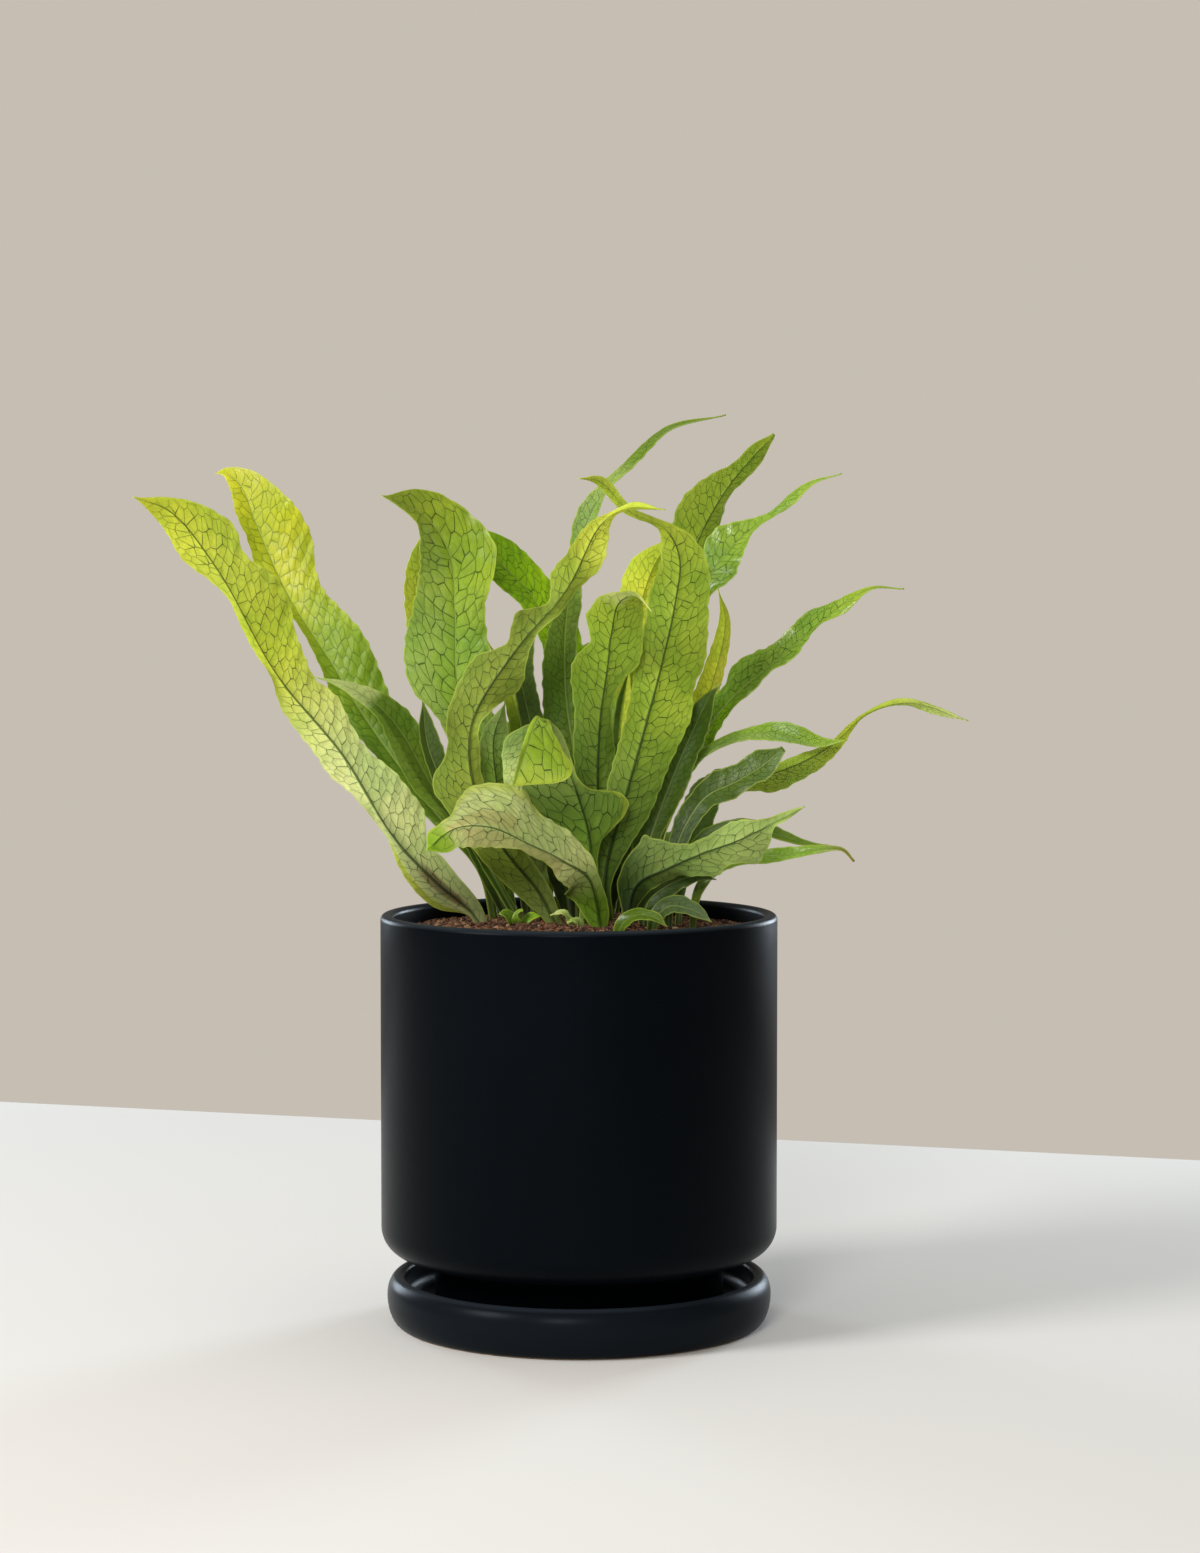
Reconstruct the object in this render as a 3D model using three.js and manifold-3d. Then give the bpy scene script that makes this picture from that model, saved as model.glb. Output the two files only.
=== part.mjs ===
// A crocodile fern in a black ceramic cylinder pot that stands on its own saucer.
// Millimetres, +Z up. The origin is the middle of the saucer's underside; +X runs to the right of the
// plant's best side and +Y runs to its back.
import * as THREE from "three";
import { mergeVertices } from "three/addons/utils/BufferGeometryUtils.js";
import Module from "manifold-3d";

const wasm = await Module();
wasm.setup();

// Pot and saucer
const POT_RADIUS = 85;
const POT_HEIGHT = 146;
const POT_WALL = 5.4;
const POT_FLOOR = 7;
const POT_CORNER = 12;
const RIM_ROUND = 2.4;
const FOOT_RADIUS = 62;
const FOOT_WALL = 7;
const FOOT_HEIGHT = 20.7;
const DRAIN_RADIUS = 8;
const SAUCER_RADIUS = 82.5;
const SAUCER_BASE_RADIUS = 76.5;
const SAUCER_HEIGHT = 21;
const SAUCER_WAIST = 12.5;
const SAUCER_LIP = 2.5;
const SAUCER_FLOOR = 9;
const SAUCER_CORNER = 5;
const SEAT_GAP = 0.3;
const ROUND_SIDES = 40;

// Heights that follow from them
const POT_FOOT_Z = SAUCER_FLOOR + SEAT_GAP;
const POT_UNDERSIDE_Z = POT_FOOT_Z + FOOT_HEIGHT;
const POT_RIM_Z = POT_UNDERSIDE_Z + POT_HEIGHT;
const POT_FLOOR_Z = POT_UNDERSIDE_Z + POT_FLOOR;
const POT_INSIDE = POT_RADIUS - POT_WALL;

// Potting mix
const SOIL_EDGE_DROP = 7.5;
const SOIL_MOUND = 4;
const SOIL_ROUGHNESS = 0.7;
const SOIL_EDGE_Z = POT_RIM_Z - SOIL_EDGE_DROP;
const SOIL_RINGS = 5;

// Fronds
const BLADE_THICKNESS = 0.8;
const STALK_WIDTH = 4.6;
const STALK_THICKNESS = 2.2;
const STALK_SHARE = 0.14;
const KEEL_HEIGHT = 0.9;
const RIB_RELIEF = 0.35;
const TIP_WIDTH = 1.4;
const ROW_PITCH = 12;
const MIN_ROWS = 7;
const MAX_ROWS = 19;
const NARROW_WIDTH = 13;
const SOCKET_RADIUS = 3.8;
const SOCKET_SIDES = 8;
const SOCKET_REACH = 18;
const SOCKET_START = 0.4;

// Each frond: its spine from the root in the mix to the tip, the way its upper side faces at even steps
// along it, and how far its left and right margins stand from the midrib at even steps, closer together
// where the margin is lobed. Left and right are those of someone at the front, who sees the side named in
// "seen". The halves fold up from the midrib by "fold" degrees and the margins wave by "wave".
const FRONDS = [
  {
    name: "frond_left_outer", seen: "under", fold: 10, wave: 1.6, waves: 4, seed: 1,
    spine: [[-39, 4, 165], [-47, 3, 177], [-62, 0, 190], [-80, -6, 210], [-100, -12, 244],
      [-128, -16, 279], [-152, -20, 323], [-171, -24, 347], [-186, -28, 353]],
    faces: [[0, 1, 0.4], [-0.2, 1, 0.2], [-0.2, 1, 0.2], [0, 1, 0.4]],
    left: [2, 2, 9, 9.5, 7, 2.5, 3, 5.5, 9.5, 9, 8.5, 7, 2.5, 3, 3, 2.5, 6, 10, 9, 6.5, 0],
    right: [2, 5, 7.5, 9.5, 10, 17, 17, 15, 10, 11, 14, 12, 14.5, 16.5, 20, 19, 13, 16, 11.5, 4, 0],
  },
  {
    name: "frond_left_yellow", seen: "upper", fold: 10, wave: 2, waves: 4, seed: 2,
    spine: [[-36, 23, 165], [-43, 26, 193], [-65, 32, 219], [-96, 38, 261], [-108, 40, 281], [-128, 44, 312],
      [-143, 48, 345], [-149, 50, 360], [-156, 51, 366], [-161, 52, 366]],
    faces: [[0.2, -1, 0.3], [0.2, -1, 0.3], [0.1, -1, 0.1]],
    left: [2, 2, 2, 2.5, 3, 4, 5, 6, 7, 8, 9, 7, 5, 3.5, 4, 6, 7.5, 6.5, 7, 5, 0],
    right: [2, 2, 2.5, 3, 4, 5, 6, 8, 10, 13, 16, 17.5, 18, 16.5, 14.5, 16, 20, 19.5, 16, 8, 0],
  },
  {
    name: "frond_left_dark", seen: "upper", fold: 16, wave: 1.2, waves: 3, seed: 3,
    spine: [[-28, 13, 165], [-46, 18, 205], [-64, 16, 230], [-75, 14, 250], [-84, 12, 262], [-98, 10, 272],
      [-113, 8, 277]],
    faces: [[0.4, -0.8, 0.4], [0.3, -0.8, 0.6]],
    left: [2, 3, 5, 5, 6, 9, 11, 10, 6, 3, 0],
    right: [2, 4, 8, 7, 4, 4, 5, 8, 6, 3, 0],
  },
  {
    name: "frond_left_upright", seen: "upper", fold: 12, wave: 0.8, waves: 2, seed: 4,
    spine: [[-22, 3, 165], [-43, 5, 202], [-57, 5, 228], [-65, 4, 248], [-67, 2, 268]],
    faces: [[0.3, -1, 0.2], [0.2, -1, 0]],
    left: [1.5, 2, 2, 2.5, 2.5, 3.5, 3.5, 3.5, 3, 2.5, 0],
    right: [1.5, 2, 2, 2.5, 3, 3.5, 4.5, 5, 6, 4, 0],
  },
  {
    name: "frond_broad_green", seen: "upper", fold: 8, wave: 2, waves: 3, seed: 5,
    spine: [[-12, 9, 165], [-25, 8, 203], [-43, 5, 239], [-52, 2, 275], [-53, 0, 306], [-55, -2, 329],
      [-65, -6, 345], [-83, -14, 354]],
    faces: [[0.2, -1, 0.2], [0, -1, 0.1], [0, -1, 0.1], [0.2, -0.9, 0.4]],
    left: [2, 2, 3, 3.5, 4, 5, 6, 7, 8, 9, 12, 19.5, 22, 21, 18, 15.5, 14, 11.5, 6, 2.5, 0],
    right: [2, 2, 3, 3.5, 4, 5, 6, 7.5, 9, 11, 13, 14.5, 15, 13.5, 13, 16, 19.5, 16, 12, 7, 0],
  },
  {
    name: "frond_behind_broad", seen: "upper", fold: 8, wave: 1.6, waves: 3, seed: 6,
    spine: [[-4, 26, 165], [2, 34, 196], [-1, 40, 240], [-10, 44, 290], [-22, 46, 313], [-36, 44, 327],
      [-49, 40, 340]],
    faces: [[0.2, -1, 0.2], [0.3, -1, 0.3], [0.5, -0.9, 0.5]],
    left: [2, 2, 3.5, 4, 5, 6, 7, 7.5, 8, 9, 4],
    right: [2, 2, 3.5, 4, 5, 6, 9, 12, 11.5, 13, 5],
  },
  {
    name: "frond_wavy_olive", seen: "under", fold: 8, wave: 2.6, waves: 5, seed: 7,
    spine: [[-7, -11, 165], [-16, -16, 185], [-32, -24, 206], [-43.5, -30, 231], [-44.5, -32, 258],
      [-27.5, -33, 287], [-5, -33, 314], [10, -35, 342], [21, -40, 348], [36, -46, 347]],
    faces: [[0.1, 1, 0.3], [0.1, 1, 0.2], [0, 1, 0.2], [0, 1, 0.5]],
    left: [2, 4, 8, 10, 10.5, 12, 14, 18, 9.5, 11, 12, 12, 5, 10, 3, 9, 7, 5, 1.2, 1.8, 0],
    right: [2, 3.5, 5, 6, 7, 7, 6, 4, 4.5, 3.5, 7, 11, 6, 2.5, 4, 4.5, 8.5, 6.5, 1.5, 1.5, 0],
  },
  {
    name: "frond_front_arching", seen: "under", fold: 12, wave: 1.6, waves: 3, seed: 8,
    spine: [[10, -24, 165], [5, -30, 192], [-6, -42, 201], [-20, -56, 209], [-36, -68, 217], [-50, -78, 217],
      [-61, -86, 209]],
    faces: [[0, 1, 0], [0, 1, -0.2], [-0.2, 0.9, -0.4], [-0.3, 0.9, -0.4]],
    left: [2, 3, 6, 8.5, 12, 12, 8.5, 8, 5.5, 3.5, 3.5, 4, 4, 6, 7, 8, 8.5, 8, 7, 6, 0],
    right: [2, 3, 4.5, 4.5, 4, 5, 9, 12, 13.5, 14.5, 16, 19.5, 22, 23, 22, 20, 14.5, 7, 5, 5, 0],
  },
  {
    name: "frond_front_folded", seen: "under", fold: 8, wave: 1.6, waves: 3, seed: 9,
    spine: [[1, -19, 165], [5, -20, 205], [-1, -27, 230], [-10, -38, 254], [-16, -52, 261], [-21, -64, 249],
      [-26, -68, 234]],
    faces: [[0, 1, 0.1], [0, 1, 0.1], [0, 1, 0.2], [0, 1, 0.3], [0, 0.3, 1], [0.3, -1, 0.5], [0.3, -1, 0.3]],
    left: [2, 2, 2.5, 3, 4, 6, 10, 17, 24, 29, 29, 22, 12, 6, 2.5, 2, 2, 2, 2, 1.5, 1],
    right: [2, 2, 2.5, 3, 3.5, 3, 6, 17.5, 18, 6, 2.5, 2.5, 2.5, 2.5, 2, 3.5, 8, 14, 20.5, 17, 1],
  },
  {
    name: "frond_middle_olive", seen: "under", fold: 8, wave: 1.8, waves: 3, seed: 10,
    spine: [[8, 3, 165], [9, 4, 203], [8, 3, 229], [9, 0, 258], [12, -5, 280], [14, -9, 297], [17, -16, 309],
      [24, -24, 312], [31, -30, 305]],
    faces: [[0, 1, 0.1], [0, 1, 0.1], [0, 1, 0.2], [0, 0.4, 1]],
    left: [2, 2.5, 3.5, 5, 6, 7.5, 9, 9.5, 10, 10.5, 11, 11, 13, 15, 14.5, 8.5, 11.5, 8.5, 3.5, 3, 0],
    right: [2, 2.5, 3.5, 5, 6, 7, 8, 8.5, 8.5, 7.5, 6.5, 5, 4.5, 6.5, 13, 14, 13, 12, 9, 5, 0],
  },
  {
    name: "frond_middle_tall", seen: "under", fold: 8, wave: 1.8, waves: 4, seed: 11,
    spine: [[13, -7, 165], [11, -8, 191], [19, -8, 223], [28, -6, 255], [36, 0, 285], [41, 4, 308],
      [43, 4, 328], [37, 0, 340], [21, -8, 348], [9, -14, 360], [0, -20, 361]],
    faces: [[0, 1, 0.1], [0, 1, 0.1], [0, 1, 0.1], [0, 1, 0.3], [0, 0.8, 0.6]],
    left: [2, 2.5, 4, 6.5, 7.5, 8.5, 9, 9, 9, 9.5, 10.5, 10.5, 11, 11.5, 9.5, 7, 2.5, 1.6, 2.4, 2.4, 0],
    right: [2, 3, 3, 5.5, 8.5, 12, 13.5, 14.5, 16.5, 18, 16, 18, 16.5, 14.5, 13, 8.5, 2, 1.6, 2.4, 2.4, 0],
  },
  {
    name: "frond_middle_dark", seen: "upper", fold: 8, wave: 1.4, waves: 4, seed: 12,
    spine: [[1, 14, 165], [4, 18, 202], [-2, 20, 241], [-6, 22, 271], [-6, 22, 297], [-1, 20, 330],
      [8, 20, 352], [22, 24, 371], [38, 30, 384], [64, 38, 391]],
    faces: [[0, -1, 0.1], [0, -1, 0.1], [0, -1, 0.1], [-0.3, -0.8, 0.6], [-0.2, -0.8, 0.7]],
    left: [2, 4, 8, 9, 9, 9, 10, 11, 10, 9.5, 7.5, 4, 2, 4.5, 6, 4, 1.5, 1.5, 2, 0.8, 0],
    right: [2, 2, 3, 4, 5, 6, 6, 6, 6, 6, 5, 6, 4, 3, 4, 2, 4, 4, 1.5, 0.8, 0],
  },
  {
    name: "frond_right_upright", seen: "under", fold: 10, wave: 1.4, waves: 3, seed: 13,
    spine: [[18, 26, 165], [27, 30, 201], [39, 37, 266], [49, 41, 328], [62, 44, 355], [77, 48, 374],
      [86, 53.5, 383]],
    faces: [[-0.2, 1, 0.1], [-0.3, 1, 0.2], [-0.3, 1, 0.3]],
    left: [2, 2, 2, 2, 2.5, 3, 3, 4, 4.5, 5, 5, 6, 6.5, 8, 10, 13, 14, 10.5, 5, 4, 1],
    right: [2, 2, 2, 2, 2.5, 3, 3, 4, 4.5, 5, 5, 6, 6.5, 7, 7, 7, 7, 4, 5, 5, 1],
  },
  {
    name: "frond_right_twisted", seen: "upper", fold: 10, wave: 2, waves: 4, seed: 14,
    spine: [[19, 10, 165], [27, 13, 202], [38, 18, 258], [48, 23, 301], [61, 26, 327], [80, 30, 345],
      [99, 30, 360], [114, 28, 365]],
    faces: [[-0.2, -1, 0.2], [-0.3, -1, 0.2], [-0.4, -0.8, 0.6]],
    left: [2, 2, 2, 2, 2.5, 2.5, 3, 3.5, 4, 4.5, 5, 5.5, 6, 7, 8, 10.5, 5.5, 1.5, 1.5, 1, 0],
    right: [2, 2, 2, 2, 2.5, 2.5, 3, 3, 3.5, 4, 4.5, 5, 4.5, 4.5, 10.5, 8, 3, 2.5, 4, 1.2, 0],
  },
  {
    name: "frond_yellow_inner", seen: "under", fold: 8, wave: 1.4, waves: 3, seed: 15,
    spine: [[9, 30, 165], [16, 35, 201], [20, 40, 253], [24, 43, 293], [31, 45, 321], [41, 45, 339]],
    faces: [[0, 1, 0.1], [0, 1, 0.1]],
    left: [2, 2, 2, 3, 4, 5, 5.5, 8, 10, 10, 0],
    right: [2, 2, 2, 2.5, 3.5, 4, 5, 6, 6, 4, 0],
  },
  {
    name: "frond_yellow_outer", seen: "under", fold: 20, wave: 1.2, waves: 2, seed: 16,
    spine: [[26, 38, 165], [34, 42, 200], [50, 46, 248], [60, 48, 279], [64, 48, 301], [61, 46, 315]],
    faces: [[-0.5, 1, 0.1], [-0.5, 1, 0]],
    left: [1.5, 2, 3, 4, 6, 8, 8, 6, 4.5, 3, 0],
    right: [1.5, 2, 2.5, 3, 4, 5, 6, 6, 5, 3.5, 0],
  },
  {
    name: "frond_right_glossy", seen: "upper", fold: 12, wave: 2, waves: 4, seed: 17,
    spine: [[27, 17, 165], [33, 19, 198], [45, 20, 236], [64, 21, 265], [87, 22, 285], [107, 24, 302],
      [126, 24, 315], [141, 24, 315]],
    faces: [[-0.3, -0.8, 0.3], [-0.4, -0.8, 0.6], [-0.3, -0.7, 0.8]],
    left: [2, 2, 2, 2, 2, 2.5, 3, 3.5, 4, 5, 8, 7, 12, 11, 7, 6.5, 8.5, 5.5, 2, 0.7, 0],
    right: [2, 2, 2, 2, 2, 2.5, 3, 4, 6, 7.5, 7.5, 5, 5, 3, 6.5, 5, 2, 3.5, 2.5, 1, 0],
  },
  {
    name: "frond_right_small", seen: "upper", fold: 12, wave: 1.2, waves: 2, seed: 18,
    spine: [[22, 0, 165], [28, 3, 199], [40, 7, 233], [50, 9, 256], [56, 9, 268], [61, 8, 274]],
    faces: [[-0.3, -1, 0.2], [-0.2, -0.8, 0.6]],
    left: [1.5, 3, 5, 6, 7, 5.5, 8, 7, 7, 4, 0],
    right: [1.5, 3, 4.5, 5.5, 5, 7, 8, 7.5, 8, 5, 0],
  },
  {
    name: "frond_right_long", seen: "under", fold: 10, wave: 1.4, waves: 4, seed: 19,
    spine: [[37, 11, 165], [39, 14, 200], [50, 15, 224], [69, 15, 231], [91, 15, 238], [108, 14, 247],
      [124, 14, 261], [143, 14, 266], [168, 14, 258]],
    faces: [[-0.2, 0.9, 0.3], [-0.2, 0.9, 0.3], [0, 0.8, 0.6]],
    left: [2, 2, 2, 2, 2, 2, 2.5, 3, 3, 3, 3, 3, 3, 1.5, 1.5, 1, 1, 1.5, 1.5, 1, 0],
    right: [2, 2, 2, 2, 2, 2, 2, 3, 4, 5.5, 9.5, 9.5, 8.5, 5, 2.5, 1, 1, 2.5, 3.5, 2.5, 0],
  },
  {
    name: "frond_right_curled", seen: "upper", fold: 12, wave: 1.8, waves: 3, seed: 20,
    spine: [[38, -10, 165], [40, -9, 200], [53, -6, 225], [68, -5, 233], [79, -5, 240], [87, -6, 247]],
    faces: [[-0.4, -1, 0.2], [-0.3, -1, 0.3], [-0.2, -1, 0.4]],
    left: [1.5, 2, 4, 5, 4, 6, 5, 8, 7, 7, 1],
    right: [1.5, 2, 3, 3.5, 4.5, 4.5, 6, 7, 5.5, 6.5, 2],
  },
  {
    name: "frond_right_light", seen: "upper", fold: 10, wave: 1.4, waves: 3, seed: 21,
    spine: [[31, 3, 165], [34, 9, 205], [43, 13, 231], [54, 13, 244], [67, 11, 251], [84, 9, 253],
      [102, 6, 248], [115, 4, 250]],
    faces: [[-0.4, -0.8, 0.2], [-0.2, -0.9, 0.4], [0, -0.8, 0.6]],
    left: [1.5, 1.5, 1.5, 1.5, 2, 2, 2, 3, 5, 5, 0],
    right: [1.5, 1.5, 1.5, 1.5, 2, 2, 2, 3, 4.5, 2, 0],
  },
  {
    name: "frond_front_right", seen: "under", fold: 12, wave: 2, waves: 3, seed: 22,
    spine: [[20, -17, 165], [24, -20, 189], [37, -26, 197], [52, -32, 204], [67, -38, 210], [82, -44, 218],
      [94, -50, 225]],
    faces: [[-0.2, 1, 0.2], [-0.2, 1, 0.1], [-0.2, 1, 0]],
    left: [2, 2, 2.5, 4, 7, 10, 13, 16, 12.5, 8.5, 6, 6, 6.5, 7.5, 7.5, 6.5, 4.5, 3, 2.2, 1.3, 0],
    right: [2, 2, 2.5, 4, 6, 6, 6, 6, 6, 8, 10, 12, 9.5, 9.5, 13.5, 10.5, 6.5, 1.5, 1.5, 1, 0],
  },
  {
    name: "frond_right_shaded", seen: "upper", fold: 12, wave: 1, waves: 2, seed: 23,
    spine: [[27, -9, 165], [29, -11, 181], [38, -13, 189], [49, -16, 193], [58, -20, 192]],
    faces: [[-0.2, -1, 0.2], [0, -1, 0.4]],
    left: [1.5, 2, 4, 5, 5.5, 5, 3, 0],
    right: [1.5, 2, 4, 5, 5, 4, 2.5, 0],
  },
  {
    name: "frond_right_narrow", seen: "upper", fold: 12, wave: 0.6, waves: 2, seed: 24,
    spine: [[42, 1, 165], [45, 2, 190], [53, 2, 207], [66, 2, 213], [80, 2, 211], [97, 2, 206],
      [107, 2, 205]],
    faces: [[-0.2, -1, 0.3], [0, -1, 0.5]],
    left: [1.5, 1.5, 2, 3, 3.5, 3, 3.5, 3, 1.5, 0],
    right: [1.5, 1.5, 2, 3, 3.5, 3.5, 3, 2.5, 1.5, 0],
  },
  {
    name: "frond_right_dried_tip", seen: "upper", fold: 12, wave: 0.6, waves: 3, seed: 25,
    spine: [[48, -7, 165], [51, -7, 186], [62, -7, 198], [80, -8, 201], [91, -9, 202], [101, -10, 204],
      [112, -11, 204], [117, -12, 199]],
    faces: [[-0.2, -1, 0.3], [0, -1, 0.5]],
    left: [1.5, 1.5, 2, 2.5, 3, 2.5, 3, 3, 2, 1, 0.5],
    right: [1.5, 1.5, 2, 2.5, 3.5, 3, 3.5, 2.5, 2, 1, 0.5],
  },
  {
    name: "frond_low_green", seen: "upper", fold: 10, wave: 0.4, waves: 2, seed: 26,
    spine: [[15, -34, 165], [18, -36, 174], [24, -39, 178.5], [31, -42, 178], [37, -45, 174.5]],
    faces: [[0, -0.8, 0.6], [0, -0.5, 0.9]],
    left: [1.5, 2, 3.5, 4, 3.5, 2.5, 0],
    right: [1.5, 2, 3.5, 4, 3.5, 2.5, 0],
  },
  {
    name: "frond_low_grey", seen: "upper", fold: 10, wave: 0.4, waves: 2, seed: 27,
    spine: [[30, -22, 165], [32, -23, 175], [38, -26, 181], [47, -29, 180], [56, -32, 175]],
    faces: [[0, -0.8, 0.6], [0, -0.6, 0.9]],
    left: [1.5, 2, 4, 5.5, 5, 3.5, 0],
    right: [1.5, 2, 4, 5, 4.5, 3, 0],
  },
  {
    name: "frond_left_inner", seen: "under", fold: 10, wave: 1.4, waves: 3, seed: 28,
    spine: [[-10, -2, 165], [-22, -5, 191], [-31, -8, 212], [-35, -12, 234], [-36, -15, 251],
      [-31, -18, 267]],
    faces: [[0, 1, 0.2], [0, 1, 0.1]],
    left: [2, 3.5, 7, 8, 8, 8, 7, 5, 0],
    right: [2, 3.5, 9, 10, 10, 10, 8, 6, 0],
  },
  {
    name: "frond_inner_dark", seen: "upper", fold: 10, wave: 1.2, waves: 3, seed: 29,
    spine: [[-3, 6, 165], [-8, 9, 202], [-15, 10, 233], [-22, 10, 261], [-25, 10, 278], [-22, 10, 294],
      [-16, 10, 306]],
    faces: [[0.2, -1, 0.2], [0.2, -1, 0]],
    left: [2, 5, 10, 8, 6, 4.5, 3.5, 3, 0],
    right: [2, 4, 8, 7, 6, 6, 6, 4, 0],
  },
  {
    name: "frond_inner_light", seen: "upper", fold: 10, wave: 1.2, waves: 3, seed: 30,
    spine: [[-13, 22, 165], [-16, 25, 210], [-24, 27, 249], [-32, 30, 276], [-40, 32, 292]],
    faces: [[0.2, -1, 0.2], [0.3, -1, 0.3]],
    left: [2, 2.5, 3.5, 5, 6, 6, 5, 3.5, 0],
    right: [2, 2.5, 3.5, 5, 6, 6, 5, 3.5, 0],
  },
  {
    name: "frond_middle_narrow", seen: "upper", fold: 10, wave: 1, waves: 3, seed: 31,
    spine: [[10, 17, 165], [15, 18, 202], [17, 19, 237], [19, 20, 262], [22, 21, 282]],
    faces: [[0, -1, 0.2], [0, -1, 0.1]],
    left: [2, 2.5, 3.5, 4.5, 5, 5, 4, 3, 0],
    right: [2, 4, 8, 7, 6, 5, 4, 3, 0],
  },
  {
    name: "frond_yellow_sliver", seen: "upper", fold: 14, wave: 1.2, waves: 3, seed: 32,
    spine: [[-22, 21, 165], [-28, 28, 210], [-44, 32, 249], [-59, 34, 280], [-66, 35, 306], [-67.5, 35, 328],
      [-65.5, 33, 345]],
    faces: [[0.2, -1, 0.2], [0.2, -1, 0]],
    left: [2, 2.5, 4, 5.5, 7, 9.5, 11.5, 11, 8.5, 0],
    right: [2, 2.5, 4, 6, 8, 8, 8, 7, 4, 0],
  },
  {
    name: "frond_back_left", seen: "under", fold: 10, wave: 1.6, waves: 3, seed: 33,
    spine: [[-16, 39, 165], [-22, 48, 205], [-34, 64, 238], [-48, 84, 258], [-62, 104, 262]],
    faces: [[0, -0.6, 0.8], [0, -0.2, 1]],
    left: [2, 3, 6, 9, 11, 12, 10, 7, 0],
    right: [2, 3, 6, 9, 12, 12, 11, 7, 0],
  },
  {
    name: "frond_back_middle", seen: "upper", fold: 10, wave: 1.8, waves: 4, seed: 34,
    spine: [[0, 45, 165], [2, 54, 215], [4, 72, 260], [8, 96, 286], [12, 122, 288]],
    faces: [[0, -0.8, 0.4], [0, -0.3, 1]],
    left: [2, 3, 6, 9, 12, 13, 11, 7, 0],
    right: [2, 3, 6, 10, 12, 13, 12, 7, 0],
  },
  {
    name: "frond_back_right", seen: "upper", fold: 10, wave: 1.6, waves: 3, seed: 35,
    spine: [[14, 47, 165], [22, 57, 208], [32, 74, 242], [46, 96, 260], [62, 118, 258]],
    faces: [[0, -0.6, 0.8], [0, -0.2, 1]],
    left: [2, 3, 6, 9, 11, 11, 10, 6, 0],
    right: [2, 3, 6, 9, 11, 12, 10, 6, 0],
  },
  {
    name: "frond_back_outer_right", seen: "upper", fold: 10, wave: 1.4, waves: 3, seed: 36,
    spine: [[36, 27, 165], [46, 38, 198], [55, 56, 220], [63, 76, 232], [70, 94, 232]],
    faces: [[0, -0.6, 0.8], [0, -0.2, 1]],
    left: [2, 3, 5, 7, 8, 8, 6, 4, 0],
    right: [2, 3, 5, 7, 8, 8, 6, 4, 0],
  },
  {
    name: "frond_back_outer_left", seen: "upper", fold: 10, wave: 1.4, waves: 3, seed: 37,
    spine: [[-27, 34, 165], [-38, 46, 196], [-52, 62, 220], [-68, 80, 234], [-84, 92, 234]],
    faces: [[0, -0.6, 0.8], [0, -0.2, 1]],
    left: [2, 3, 5, 7, 8, 8, 6, 4, 0],
    right: [2, 3, 5, 7, 8, 8, 6, 4, 0],
  },
  {
    name: "frond_back_low_left", seen: "upper", fold: 10, wave: 1, waves: 2, seed: 38,
    spine: [[-7, 53, 165], [-11, 62, 190], [-19, 78, 208], [-30, 96, 210]],
    faces: [[0, -0.6, 0.8], [0, -0.2, 1]],
    left: [1.5, 2, 4, 5.5, 5, 3.5, 0],
    right: [1.5, 2, 4, 5.5, 5, 3.5, 0],
  },
  {
    name: "frond_back_low_right", seen: "upper", fold: 10, wave: 1, waves: 2, seed: 39,
    spine: [[25, 51, 165], [30, 60, 188], [40, 76, 203], [52, 92, 203]],
    faces: [[0, -0.6, 0.8], [0, -0.2, 1]],
    left: [1.5, 2, 4, 5.5, 5, 3.5, 0],
    right: [1.5, 2, 4, 5.5, 5, 3.5, 0],
  },
];

const smooth = (from, to, x) => THREE.MathUtils.smoothstep(x, from, to);
const sway = (u, cycles, seed) =>
  0.65 * Math.sin(2 * Math.PI * (cycles * u + 0.37 * seed)) +
  0.35 * Math.sin(2 * Math.PI * (1.73 * cycles * u + 0.71 * seed));

// A value that runs smoothly through a list of them spread evenly from 0 to 1.
function along(list, u) {
  const x = u * (list.length - 1);
  const i = Math.min(Math.floor(x), list.length - 2);
  const t = x - i;
  const [a, b] = [list[Math.max(i - 1, 0)], list[i]];
  const [c, d] = [list[i + 1], list[Math.min(i + 2, list.length - 1)]];
  const bend = (2 * a - 5 * b + 4 * c - d) * t * t + (3 * b - a - 3 * c + d) * t * t * t;
  return 0.5 * (2 * b + (c - a) * t + bend);
}

// The way the upper side faces at u, from the frond's list of directions.
function facing(faces, u) {
  return new THREE.Vector3(
    ...[0, 1, 2].map((axis) => along(faces.map((f) => f[axis]), u)),
  ).normalize();
}

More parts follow.
